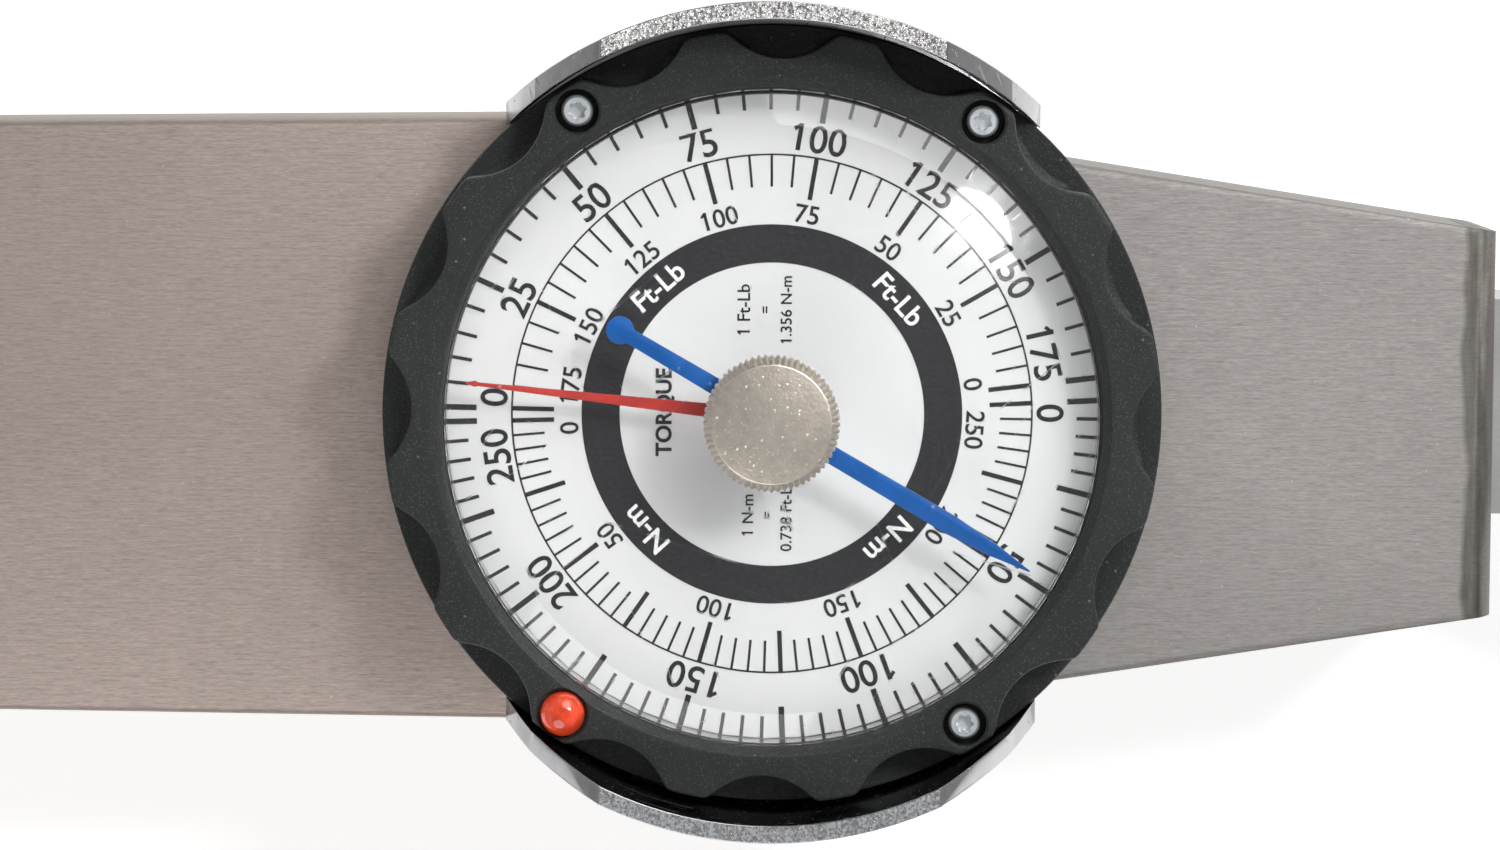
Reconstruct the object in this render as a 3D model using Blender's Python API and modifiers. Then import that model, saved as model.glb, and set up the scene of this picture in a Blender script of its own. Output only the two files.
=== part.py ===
"""Dial torque wrench with a half-inch drive, built as an assembly of separate pieces.

Run with: blender --background --python part.py, or from Blender's text editor.

The origin is the centre of the drive square's end face. +X runs along the wrench, away from
the handle. +Z runs from the drive square up to the dial. Sizes below are in millimetres.
Each group of pieces that moves together hangs from an empty on its joint's axis, and its
shapes are given from that axis. Heights are always given from the origin.
"""
import math

import bmesh
import bpy
from mathutils import Matrix

MM = 0.001
GAP = 0.3                 # clearance between pieces that touch on the real wrench
RUNNING_GAP = 0.08        # radial clearance of a shaft in its bush
SLOT_GAP = 0.2            # clearance of the lever pin in the fork, and of bores on their shafts
MERGE = 1e-6              # metres

# Screws that hold the case, anchor block and pan
SCREW_HOLE_R = 1.7
SCREW_SHANK_R = 1.4

# Driving dimensions along the wrench
PIVOT_X = -46.0           # pin on which the head turns
DIAL_X = -112.0           # axis of the dial, knob and spindle
CASE_FRONT_X = -32.0
CASE_SHOULDER_X = -252.0
CASE_REAR_X = -290.0
HANDLE_END_X = -524.0
GRIP_FRONT_X = -400.0

# Case
CASE_BOTTOM, CASE_SPLIT, CASE_TOP = 14.0, 27.0, 40.0
CASE_WALL = 1.5
CASE_HALF_FRONT = 21.3
CASE_HALF_DIAL = 33.7
CASE_HALF_SHOULDER = 32.1
CASE_HALF_REAR = 17.0
CASE_EDGE = 0.8
NOSE_FOLD = 2.4
CASE_SIDE_SHIFT = -1.6    # the case sits a little to one side of the dial's axis

# Gear train: pointer turn per head turn is LEVER_RATIO * SECTOR_PITCH_R / PINION_PITCH_R
MODULE = 0.5
PINION_TEETH = 12
SECTOR_TEETH = 86         # of the full wheel that the sector is cut from
SECTOR_CUT_TEETH = 17
PINION_PITCH_R = MODULE * PINION_TEETH / 2
SECTOR_PITCH_R = MODULE * SECTOR_TEETH / 2
SECTOR_X = DIAL_X - SECTOR_PITCH_R - PINION_PITCH_R
POINTER_SWEEP = 172.1     # degrees either side of zero
HEAD_SWEEP = 1.5          # degrees either side
LEVER_RATIO = POINTER_SWEEP / HEAD_SWEEP * PINION_PITCH_R / SECTOR_PITCH_R
LEVER_R = (PIVOT_X - SECTOR_X) / (LEVER_RATIO - 1)

# Height of each layer of the movement
BEAM_BOTTOM, BEAM_TOP = 20.0, 30.0
BRIDGE_BOTTOM, BRIDGE_TOP = 30.6, 32.0
GEAR_BOTTOM, GEAR_TOP = 33.0, 35.0
PLATE_BOTTOM, PLATE_TOP = 36.6, 38.2

# Dial assembly
FACE_TOP = 50.0
FACE_R = 36.3
BEZEL_BOTTOM, BEZEL_FLANGE_TOP, BEZEL_TOP = 47.2, 50.6, 56.4
BEZEL_FLANGE_R = 42.3
BEZEL_BODY_R = 41.8
BEZEL_BORE_R = 36.6
BEZEL_OPENING_R = 35.65
BEZEL_LIP = 55.4          # underside of the lip that holds the lens
BEZEL_EDGE = 0.8
BEZEL_SCREW_SEAT = 53.2
LENS_BOTTOM, LENS_FLANGE_TOP, LENS_RIM = 54.0, 55.1, 57.6
LENS_STEP_R = 35.3
SCALLOPS = 16
SCALLOP_R = 7.1
SCALLOP_REACH = 38.85     # radius that the scallops are cut in to
SCREW_CIRCLE_R = 39.1
SCREW_FROM_Y = 1.5 * 360 / SCALLOPS    # degrees from the dial's own Y axis
DIAL_TURN = -1.28
LENS_TOP = 59.1
RED_POINTER_Z, RED_POINTER_ANGLE, RED_POINTER_LENGTH = 53.4, 173.8, 33.3
BLUE_POINTER_Z, BLUE_POINTER_ANGLE, BLUE_POINTER_LENGTH = 56.1, -30.3, 32.2
BLUE_TAIL_LENGTH = 18.8
KNOB_R, KNOB_FACE_R, KNOB_TEETH = 7.3, 6.5, 60
KNOB_BOTTOM, KNOB_TOP = 59.4, 63.0

# Guard
GUARD_BOTTOM, GUARD_FLOOR, GUARD_TOP = 40.3, 42.3, 63.5
GUARD_HALF_LENGTH = 28.9
GUARD_INNER_R, GUARD_OUTER_R, GUARD_OFFSET = 41.2, 43.1, 1.75

# Drive and handle
SQUARE = 12.7
SQUARE_TOP = 15.5
SQUARE_CHAMFER = 0.9
HEAD_BOTTOM, HEAD_TOP, HEAD_R = 15.8, 37.0, 18.0
HANDLE_Z = 27.0
TUBE_R, TUBE_WALL = 9.2, 1.8
GRIP_R = 16.0

PART_NAME = "torque_wrench"
MATERIALS = {             # colour, roughness, metallic
    "brushed_case": ((0.42, 0.39, 0.36), 0.42, 1.0),
    "chrome": ((0.70, 0.70, 0.71), 0.12, 1.0),
    "forged_steel": ((0.55, 0.55, 0.56), 0.28, 1.0),
    "spring_steel": ((0.32, 0.33, 0.35), 0.35, 1.0),
    "zinc": ((0.62, 0.64, 0.66), 0.32, 1.0),
    "brass": ((0.62, 0.46, 0.20), 0.35, 1.0),
    "nickel": ((0.47, 0.42, 0.36), 0.38, 1.0),
    "black_plastic": ((0.035, 0.038, 0.038), 0.55, 0.0),
    "dial_white": ((0.82, 0.82, 0.80), 0.45, 0.0),
    "lens_clear": ((0.85, 0.87, 0.88), 0.05, 0.0),
    "red_paint": ((0.55, 0.05, 0.04), 0.45, 0.0),
    "blue_paint": ((0.005, 0.10, 0.45), 0.40, 0.0),
    "red_led": ((0.80, 0.06, 0.01), 0.15, 0.0),
    "rubber": ((0.03, 0.03, 0.03), 0.70, 0.0),
    "board_green": ((0.02, 0.18, 0.07), 0.45, 0.0),
}


def clear_scene():
    for obj in list(bpy.data.objects):
        bpy.data.objects.remove(obj, do_unlink=True)


def make_material(name):
    colour, roughness, metallic = MATERIALS[name]
    material = bpy.data.materials.new(name)
    material.use_nodes = True
    shader = material.node_tree.nodes["Principled BSDF"]
    shader.inputs["Base Color"].default_value = (*colour, 1.0)
    shader.inputs["Roughness"].default_value = roughness
    shader.inputs["Metallic"].default_value = metallic
    material.diffuse_color = (*colour, 1.0)
    return material


def make_collection(name):
    collection = bpy.data.collections.new(name)
    bpy.context.scene.collection.children.link(collection)
    return collection


def make_group(name, x, turn=0.0):
    """An empty on a vertical joint axis, which the pieces that turn about it hang from."""
    empty = bpy.data.objects.new(name, None)
    empty.location = (x * MM, 0.0, 0.0)
    empty.rotation_euler = (0.0, 0.0, math.radians(turn))
    PARTS.objects.link(empty)
    return empty


def add_object(name, mesh, group, material):
    """A piece when it has a material, or a cutter when it has none."""
    obj = bpy.data.objects.new(name, mesh)
    obj.parent = group
    if material is None:
        CUTTERS.objects.link(obj)
        obj.hide_render = True
        obj.display_type = "WIRE"
        return obj
    PARTS.objects.link(obj)
    obj.data.materials.append(bpy.data.materials[material])
    return obj


def turned(name, profile, group, material, closed=False, x=0.0, y=0.0, segments=48):
    """A profile of (radius, height) points, listed down its outer side, turned about Z."""
    count = len(profile)
    edges = [(i, i + 1) for i in range(count - 1)]
    if closed:
        edges.append((count - 1, 0))
    mesh = bpy.data.meshes.new(name)
    mesh.from_pydata([(r * MM, 0.0, z * MM) for r, z in profile], edges, [])
    obj = add_object(name, mesh, group, material)
    obj.location = (x * MM, y * MM, 0.0)
    screw = obj.modifiers.new("Turn", "SCREW")
    screw.axis = "Z"
    screw.steps = segments
    screw.render_steps = segments
    screw.use_merge_vertices = True
    screw.merge_threshold = MERGE
    screw.use_smooth_shade = True
    return obj


def rod(name, radius, bottom, top, group, material, x=0.0, y=0.0, segments=24):
    profile = [(0.0, top), (radius, top), (radius, bottom), (0.0, bottom)]
    return turned(name, profile, group, material, x=x, y=y, segments=segments)


def sleeve(name, inner, outer, bottom, top, group, material, x=0.0, y=0.0, segments=48):
    profile = [(inner, top), (outer, top), (outer, bottom), (inner, bottom)]
    return turned(name, profile, group, material, closed=True, x=x, y=y, segments=segments)


def box(name, low, high, group, material):
    bm = bmesh.new()
    bmesh.ops.create_cube(bm, size=1.0)
    size = [(b - a) * MM for a, b in zip(low, high)]
    middle = [(a + b) / 2 * MM for a, b in zip(low, high)]
    bmesh.ops.scale(bm, vec=size, verts=bm.verts)
    bmesh.ops.translate(bm, vec=middle, verts=bm.verts)
    mesh = bpy.data.meshes.new(name)
    bm.to_mesh(mesh)
    bm.free()
    return add_object(name, mesh, group, material)


def arc(cx, cy, radius, start, end, steps):
    """Points on an arc, with angles in degrees."""
    points = []
    for i in range(steps + 1):
        angle = math.radians(start + (end - start) * i / steps)
        points.append((cx + radius * math.cos(angle), cy + radius * math.sin(angle)))
    return points


def plate(name, outlines, bottom, top, group, material):
    """A flat piece with one outer outline and any number of holes, made into a mesh."""
    curve = bpy.data.curves.new(name + "_outline", "CURVE")
    curve.dimensions = "2D"
    curve.fill_mode = "BOTH"
    curve.extrude = (top - bottom) / 2 * MM
    for outline in outlines:
        spline = curve.splines.new("POLY")
        spline.points.add(len(outline) - 1)
        for point, (x, y) in zip(spline.points, outline):
            point.co = (x * MM, y * MM, 0.0, 1.0)
        spline.use_cyclic_u = True
    draft = bpy.data.objects.new(name + "_draft", curve)
    bpy.context.scene.collection.objects.link(draft)
    evaluated = draft.evaluated_get(bpy.context.evaluated_depsgraph_get())
    mesh = bpy.data.meshes.new_from_object(evaluated)
    bpy.data.objects.remove(draft, do_unlink=True)
    mesh.name = name
    mesh.materials.clear()
    mesh.transform(Matrix.Translation((0.0, 0.0, (top + bottom) / 2 * MM)))
    bm = bmesh.new()
    bm.from_mesh(mesh)
    bmesh.ops.remove_doubles(bm, verts=bm.verts, dist=MERGE)
    bmesh.ops.recalc_face_normals(bm, faces=bm.faces)
    bm.to_mesh(mesh)
    bm.free()
    return add_object(name, mesh, group, material)


def boolean(obj, cutter, operation="DIFFERENCE"):
    modifier = obj.modifiers.new(operation.title(), "BOOLEAN")
    modifier.operation = operation
    modifier.solver = "EXACT"
    modifier.object = cutter
    return obj


def round_edges(obj, is_edge, width, segments):
    """Round the mesh edges whose two end points (in mm) pass the test."""
    bm = bmesh.new()
    bm.from_mesh(obj.data)
    bmesh.ops.dissolve_limit(bm, angle_limit=0.01, verts=bm.verts, edges=bm.edges)
    edges = [
        edge for edge in bm.edges
        if len(edge.link_faces) == 2 and edge.calc_face_angle() > 0.5
        and is_edge(edge.verts[0].co / MM, edge.verts[1].co / MM)
    ]
    bmesh.ops.bevel(bm, geom=edges, offset=width * MM, segments=segments,
                    profile=0.5, affect="EDGES")
    bm.to_mesh(obj.data)
    bm.free()


def case_outline(inset=0.0):
    """Plan of the case, from the front corner round to the other front corner."""
    upper = [
        (CASE_FRONT_X - inset, CASE_HALF_FRONT - inset),
        (DIAL_X, CASE_HALF_DIAL - inset),
        (CASE_SHOULDER_X, CASE_HALF_SHOULDER - inset),
        (CASE_REAR_X + inset, CASE_HALF_REAR - inset),
    ]
    outline = upper + [(x, -y) for x, y in reversed(upper)]
    return [(x, y + CASE_SIDE_SHIFT) for x, y in outline]


CASE_SCREWS = [(-72.0, 20.0), (-72.0, -20.0), (-222.0, 24.0), (-222.0, -24.0)]
PAN_SCREW_ANGLES = [90.0, 210.0, 330.0]
PAN_SCREW_CIRCLE = 14.0
ANCHOR_SCREWS = [(-200.0, 14.0), (-200.0, -14.0)]
ANCHOR_FRONT_X, ANCHOR_REAR_X = -176.0, -206.0
BEAM_END_X = -186.0
NECK_HALF, NECK_BOTTOM, NECK_TOP = 12.0, 18.0, 35.0


def cut_case_openings(shell, bottom, top):
    """The neck's opening in the front, and the collar's in the rear."""
    name = shell.name
    neck = box(name + "_neck_cut", (CASE_FRONT_X - 6, -NECK_HALF - 1.5, NECK_BOTTOM - 1.0),
               (CASE_FRONT_X + 6, NECK_HALF + 1.5, NECK_TOP + 1.0), ROOT, None)
    boolean(shell, neck)
    half = CASE_HALF_REAR - CASE_WALL - 1.0
    rear = box(name + "_rear_cut", (CASE_REAR_X - 4, -half, bottom), (CASE_REAR_X + 4, half, top),
               ROOT, None)
    boolean(shell, rear)


def build_case_upper():
    shell = plate("case_upper", [case_outline()], CASE_SPLIT + GAP, CASE_TOP, ROOT, "brushed_case")

    def on_top(a, b):
        return min(a.z, b.z) > CASE_TOP - 0.01

    def is_nose(a, b):
        return on_top(a, b) and min(a.x, b.x) > CASE_FRONT_X - 1

    def is_rim(a, b):
        return on_top(a, b) and a.y * b.y > 0

    round_edges(shell, is_nose, NOSE_FOLD, 4)
    round_edges(shell, is_rim, CASE_EDGE, 2)
    inside = plate("case_upper_inside", [case_outline(CASE_WALL)], CASE_SPLIT - 1,
                   CASE_TOP - CASE_WALL, ROOT, None)
    boolean(shell, inside)
    cut_case_openings(shell, CASE_SPLIT - 1, CASE_TOP - CASE_WALL - 1)
    for i, (x, y) in enumerate(CASE_SCREWS):
        post = sleeve(f"case_post_{i + 1}", SCREW_HOLE_R, 2 * SCREW_HOLE_R, CASE_BOTTOM + CASE_WALL + GAP,
                      CASE_TOP - CASE_WALL / 2, ROOT, None, x=x, y=y, segments=20)
        boolean(shell, post, "UNION")
    spindle_hole = rod("case_spindle_hole", 4.0, CASE_TOP - 4, CASE_TOP + 4, ROOT, None, x=DIAL_X)
    boolean(shell, spindle_hole)
    cut_pan_screw_holes(shell)


def build_case_lower():
    shell = plate("case_lower", [case_outline()], CASE_BOTTOM, CASE_SPLIT, ROOT, "brushed_case")

    def is_rim(a, b):
        return max(a.z, b.z) < CASE_BOTTOM + 0.01

    round_edges(shell, is_rim, CASE_EDGE, 2)
    inside = plate("case_lower_inside", [case_outline(CASE_WALL)], CASE_BOTTOM + CASE_WALL,
                   CASE_SPLIT + 1, ROOT, None)
    boolean(shell, inside)
    cut_case_openings(shell, CASE_BOTTOM + CASE_WALL + 1, CASE_SPLIT + 1)
    for i, (x, y) in enumerate(CASE_SCREWS + ANCHOR_SCREWS):
        hole = rod(f"case_screw_hole_{i + 1}", SCREW_HOLE_R, CASE_BOTTOM - 2, CASE_BOTTOM + 3, ROOT,
                   None, x=x, y=y, segments=16)
        boolean(shell, hole)


def pan_screw_places():
    for angle in PAN_SCREW_ANGLES:
        turn = math.radians(angle)
        yield DIAL_X + PAN_SCREW_CIRCLE * math.cos(turn), PAN_SCREW_CIRCLE * math.sin(turn)


def cut_pan_screw_holes(obj):
    for i, (x, y) in enumerate(pan_screw_places()):
        hole = rod(f"{obj.name}_pan_screw_hole_{i + 1}", SCREW_HOLE_R, PLATE_BOTTOM - 1, FACE_TOP,
                   ROOT, None, x=x, y=y, segments=16)
        boolean(obj, hole)


def under_head_screw(name, x, y, head_r, shank_r, seat, head_height, length, group, material):
    """A screw whose head hangs below its seat and whose shank points up."""
    profile = [
        (0.0, seat + length), (shank_r, seat + length), (shank_r, seat), (head_r, seat),
        (head_r, seat - head_height), (0.0, seat - head_height),
    ]
    return turned(name, profile, group, material, x=x, y=y, segments=12)


def top_head_screw(name, x, y, head_r, shank_r, seat, head_height, length, group, material):
    """A screw whose head stands on its seat and whose shank points down."""
    profile = [
        (0.0, seat + head_height), (head_r, seat + head_height), (head_r, seat),
        (shank_r, seat), (shank_r, seat - length), (0.0, seat - length),
    ]
    return turned(name, profile, group, material, x=x, y=y, segments=12)


def build_case_fasteners():
    head_r, head_height = 3.0, 1.6
    for kind, places, length in (("case", CASE_SCREWS, 12.0), ("anchor", ANCHOR_SCREWS, 10.0)):
        for i, (x, y) in enumerate(places):
            under_head_screw(f"{kind}_screw_{i + 1}", x, y, head_r, SCREW_SHANK_R, CASE_BOTTOM - GAP,
                             head_height, length, ROOT, "zinc")


def build_anchor_block():
    """Holds the rear end of the beam. Its slot is as wide as the stiff beam swings."""
    low = (ANCHOR_REAR_X, -22.0, CASE_BOTTOM + CASE_WALL + GAP)
    high = (ANCHOR_FRONT_X, 22.0, 33.0)
    block = box("anchor_block", low, high, ROOT, "forged_steel")
    slot = box("anchor_slot", (BEAM_END_X - 2.0, -9.0, BEAM_BOTTOM - 1.0),
               (ANCHOR_FRONT_X + 2, 9.0, 40.0), ROOT, None)
    boolean(block, slot)
    for i, (x, y) in enumerate(ANCHOR_SCREWS):
        hole = rod(f"anchor_hole_{i + 1}", SCREW_HOLE_R, CASE_BOTTOM, 26.0, ROOT, None, x=x, y=y,
                   segments=16)
        boolean(block, hole)


def guard_arc(radius, side, steps=28):
    """Arc of one guard wall, from -X to +X. side is +1 or -1 in Y."""
    reach = math.degrees(math.asin(GUARD_HALF_LENGTH / radius))
    points = arc(0.0, GUARD_OFFSET, radius, 90 + reach, 90 - reach, steps)
    return [(DIAL_X + x, side * y) for x, y in points]


def build_guard():
    """A channel whose floor lies under the dial and whose two walls curve round it."""
    outline = guard_arc(GUARD_OUTER_R, 1) + list(reversed(guard_arc(GUARD_OUTER_R, -1)))
    guard = plate("dial_guard", [outline], GUARD_BOTTOM, GUARD_TOP, ROOT, "chrome")
    wall = guard_arc(GUARD_INNER_R, 1)
    wide, edge_y = GUARD_HALF_LENGTH + 2, wall[0][1]
    half = [(DIAL_X - wide, edge_y), *wall, (DIAL_X + wide, edge_y)]
    inner = half + [(x, -y) for x, y in reversed(half)]
    boolean(guard, plate("guard_inside", [inner], GUARD_FLOOR, GUARD_TOP + 2, ROOT, None))
    for side in (-1, 1):
        cutter = guard_corner_cutter(side)
        boolean(guard, cutter)
    boolean(guard, rod("guard_spindle_hole", 4.0, GUARD_BOTTOM - 2, GUARD_FLOOR + 2, ROOT, None,
                       x=DIAL_X))
    cut_pan_screw_holes(guard)


def guard_corner_cutter(side):
    """A prism along Y that slopes the top of both walls down towards their ends."""
    slope = [(18.3, GUARD_TOP + 1), (18.3, GUARD_TOP), (26.0, 56.0), (29.5, 48.0),
             (33.0, 48.0), (33.0, GUARD_TOP + 1)]
    length = 2 * (GUARD_OUTER_R + GUARD_OFFSET + 3)
    cutter = plate(f"guard_corner_{'front' if side > 0 else 'rear'}", [slope],
                   -length / 2, length / 2, ROOT, None)
    turn = Matrix.Rotation(math.radians(90), 4, "X")
    cutter.data.transform(turn)
    cutter.data.transform(Matrix.Diagonal((side, 1.0, 1.0, 1.0)))
    if side < 0:
        cutter.data.flip_normals()
    cutter.location = (DIAL_X * MM, 0.0, 0.0)
    return cutter


def build_pan():
    """Fixed cup under the dial. The dial assembly turns on its flange."""
    hole_r, inner_r, outer_r, flange_r = 4.0, 33.4, 34.8, 37.0
    bottom, floor, flange_bottom = GUARD_FLOOR + GAP, 43.8, 46.0
    top = BEZEL_BOTTOM - GAP
    profile = [
        (hole_r, floor), (inner_r, floor), (inner_r, top), (flange_r, top), (flange_r, flange_bottom),
        (outer_r, flange_bottom), (outer_r, bottom), (hole_r, bottom),
    ]
    pan = turned("dial_pan", profile, ROOT, "zinc", closed=True, x=DIAL_X, segments=48)
    cut_pan_screw_holes(pan)
    for i, (x, y) in enumerate(pan_screw_places()):
        top_head_screw(f"pan_screw_{i + 1}", x, y, 2.8, SCREW_SHANK_R, floor + GAP, 1.2, 7.0, ROOT,
                       "zinc")


def rounded_box_outline(x0, x1, y0, y1, radius, steps=4):
    return (arc(x1 - radius, y1 - radius, radius, 0, 90, steps)
            + arc(x0 + radius, y1 - radius, radius, 90, 180, steps)
            + arc(x0 + radius, y0 + radius, radius, 180, 270, steps)
            + arc(x1 - radius, y0 + radius, radius, 270, 360, steps))


PILLARS = [(SECTOR_X - 2.0, 9.0), (SECTOR_X - 2.0, -9.0), (DIAL_X + 6.5, 6.0), (DIAL_X + 6.5, -6.0)]
BUSH_R = 2.2
SPINDLE_R = 1.0
ARBOR_R = 1.5
LEVER_PIN_R = 1.0


def build_movement_frame():
    holes = [arc(DIAL_X, 0.0, BUSH_R + GAP, 0, 345, 23),
             arc(SECTOR_X, 0.0, ARBOR_R + RUNNING_GAP, 0, 345, 23)]
    top_outline = rounded_box_outline(SECTOR_X - 6, DIAL_X + 16, -17.5, 17.5, 4.0)
    top_plate = plate("movement_plate", [top_outline, *holes], PLATE_BOTTOM, PLATE_TOP, ROOT, "brass")
    cut_pan_screw_holes(top_plate)
    low_outline = rounded_box_outline(SECTOR_X - 3.6, DIAL_X + 9, -11, 11, 2.5)
    plate("movement_bridge", [low_outline, *holes], BRIDGE_BOTTOM, BRIDGE_TOP, ROOT, "brass")
    for i, (x, y) in enumerate(PILLARS):
        rod(f"movement_pillar_{i + 1}", 1.4, BRIDGE_TOP + GAP, PLATE_BOTTOM - GAP, ROOT, "brass",
            x=x, y=y, segments=16)
    for level, bottom, top in (("upper", PLATE_BOTTOM, PLATE_TOP), ("lower", BRIDGE_BOTTOM, BRIDGE_TOP)):
        sleeve(f"spindle_bush_{level}", SPINDLE_R + RUNNING_GAP, BUSH_R, bottom, top, ROOT, "brass",
               x=DIAL_X, segments=24)


def build_hairspring():
    """Spiral that takes up the play in the gears."""
    curve = bpy.data.curves.new("hairspring_line", "CURVE")
    curve.dimensions = "3D"
    curve.bevel_depth = 0.14 * MM
    curve.bevel_resolution = 0
    curve.render_resolution_u = 0
    curve.use_fill_caps = True
    turns, steps = 3, 14
    spline = curve.splines.new("POLY")
    spline.points.add(turns * steps)
    for i, point in enumerate(spline.points):
        angle = 2 * math.pi * i / steps
        radius = 2.0 + 3.6 * i / (turns * steps)
        point.co = ((DIAL_X + radius * math.cos(angle)) * MM, radius * math.sin(angle) * MM,
                    (GEAR_TOP + PLATE_BOTTOM) / 2 * MM, 1.0)
    obj = bpy.data.objects.new("hairspring", curve)
    obj.parent = ROOT
    PARTS.objects.link(obj)
    curve.materials.append(bpy.data.materials["spring_steel"])


def build_handle():
    along = Matrix.Translation((0.0, 0.0, HANDLE_Z * MM)) @ Matrix.Rotation(math.radians(90), 4, "Y")
    tube_front = CASE_REAR_X + 40
    inner = TUBE_R - TUBE_WALL
    tube = sleeve("handle_tube", inner, TUBE_R, HANDLE_END_X + 6, tube_front, ROOT, "chrome",
                  segments=28)
    grip_rear = HANDLE_END_X + 4
    ridge, groove = GRIP_R, GRIP_R - 1.2
    grip_outer = [(ridge - 1.5, GRIP_FRONT_X), (ridge, GRIP_FRONT_X - 2.0)]
    rings = 5
    pitch = (GRIP_FRONT_X - grip_rear - 24.0) / rings
    for i in range(rings):
        start = GRIP_FRONT_X - 12.0 - i * pitch
        grip_outer += [(ridge, start), (groove, start - 1.2), (groove, start - 2.8),
                       (ridge, start - 4.0)]
    grip_outer += [(ridge, grip_rear + 2.0), (ridge - 1.5, grip_rear)]
    bore = TUBE_R + GAP
    grip = turned("handle_grip", [(bore, GRIP_FRONT_X), *grip_outer, (bore, grip_rear)], ROOT,
                  "rubber", closed=True, segments=24)
    end = HANDLE_END_X
    cap_profile = [(0.0, end + 24), (inner - GAP, end + 24), (inner - GAP, end + 3.7),
                   (GRIP_R - 1, end + 3.7), (GRIP_R - 1, end + 1.5), (GRIP_R - 2.5, end), (0.0, end)]
    cap = turned("handle_end_cap", cap_profile, ROOT, "black_plastic", segments=24)
    for obj in (tube, grip, cap):
        obj.matrix_local = along
    build_handle_collar()
    for i, x in enumerate((CASE_REAR_X + 12, CASE_REAR_X + 28)):
        build_handle_pin(i + 1, x, tube)


def build_handle_collar():
    """Fills the case's rear opening round the handle tube."""
    half = CASE_HALF_REAR - CASE_WALL - 1.0 - GAP
    collar = box("handle_collar", (CASE_REAR_X - 3, -half, CASE_BOTTOM + CASE_WALL + 1 + GAP),
                 (CASE_REAR_X + 3, half, CASE_TOP - CASE_WALL - 1 - GAP), ROOT, "black_plastic")
    hole = rod("collar_hole", TUBE_R + GAP, -10, 10, ROOT, None, segments=28)
    place = Matrix.Translation((CASE_REAR_X * MM, 0.0, HANDLE_Z * MM))
    hole.matrix_local = place @ Matrix.Rotation(math.radians(90), 4, "Y")
    boolean(collar, hole)


def build_handle_pin(number, x, tube):
    """Upright pin through the tube, held between the two halves of the case."""
    rod(f"handle_pin_{number}", 2.5, CASE_BOTTOM + CASE_WALL + GAP, CASE_TOP - CASE_WALL - GAP, ROOT,
        "zinc", x=x, segments=20)
    hole = rod(f"tube_pin_hole_{number}", 2.5 + GAP, CASE_BOTTOM, CASE_TOP, ROOT, None, x=x, segments=20)
    boolean(tube, hole)


def build_pivot_pin():
    rod("head_pivot_pin", 4.0, CASE_BOTTOM + CASE_WALL + GAP, CASE_TOP - CASE_WALL - GAP, ROOT,
        "zinc", x=PIVOT_X, segments=32)


BEAM_PIN_XS = (-11.0, -21.0)          # from the pivot
DRIVE_OFFSET = -PIVOT_X               # from the pivot to the drive square's axis
HEAD_REAR = -26.0
SHANK_R = 6.2
SPRING_BORE_R = 2.3
BALL_R = 2.1
BALL_PROUD = 0.7
BALL_Z = 7.0


def build_head():
    waist = 15.0
    lobe = arc(DRIVE_OFFSET, 0.0, HEAD_R, -125, 125, 40)
    side = [(DRIVE_OFFSET - HEAD_R - 2, NECK_HALF), (-8.0, NECK_HALF), (-12.0, 9.5),
            (HEAD_REAR, 9.5)]
    outline = lobe + side + [(x, -y) for x, y in reversed(side)]
    head = plate("drive_head", [outline], HEAD_BOTTOM, HEAD_TOP, HEAD, "forged_steel")
    trim_top = box("neck_trim_top", (-60.0, -30.0, NECK_TOP), (DRIVE_OFFSET - waist, 30.0, 60.0),
                   HEAD, None)
    trim_low = box("neck_trim_low", (-60.0, -30.0, -10.0), (DRIVE_OFFSET - waist, 30.0, NECK_BOTTOM),
                   HEAD, None)
    slot = box("beam_slot", (HEAD_REAR - 5, -20.0, BEAM_BOTTOM - GAP), (-6.0, 20.0, BEAM_TOP + GAP),
               HEAD, None)
    bore = rod("shank_bore", SHANK_R + GAP, 0.0, 31.0, HEAD, None, x=DRIVE_OFFSET, segments=32)
    pin_bore = rod("pivot_bore", 4.0 + RUNNING_GAP, 0.0, 60.0, HEAD, None, segments=32)
    for cutter in (trim_top, trim_low, slot, bore, pin_bore):
        boolean(head, cutter)
    for i, x in enumerate(BEAM_PIN_XS):
        hole = rod(f"head_beam_hole_{i + 1}", 2.0 + GAP, 0.0, 60.0, HEAD, None, x=x, segments=20)
        boolean(head, hole)
        rod(f"beam_pin_{i + 1}", 2.0, NECK_BOTTOM, NECK_TOP, HEAD, "zinc", x=x, segments=20)
    cross = rod("head_cross_hole", 1.8, -30.0, 30.0, HEAD, None, segments=16)
    cross.matrix_local = cross_hole_place()
    boolean(head, cross)


def cross_hole_place():
    place = Matrix.Translation((DRIVE_OFFSET * MM, 0.0, 24.0 * MM))
    return place @ Matrix.Rotation(math.radians(90), 4, "X")


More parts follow.
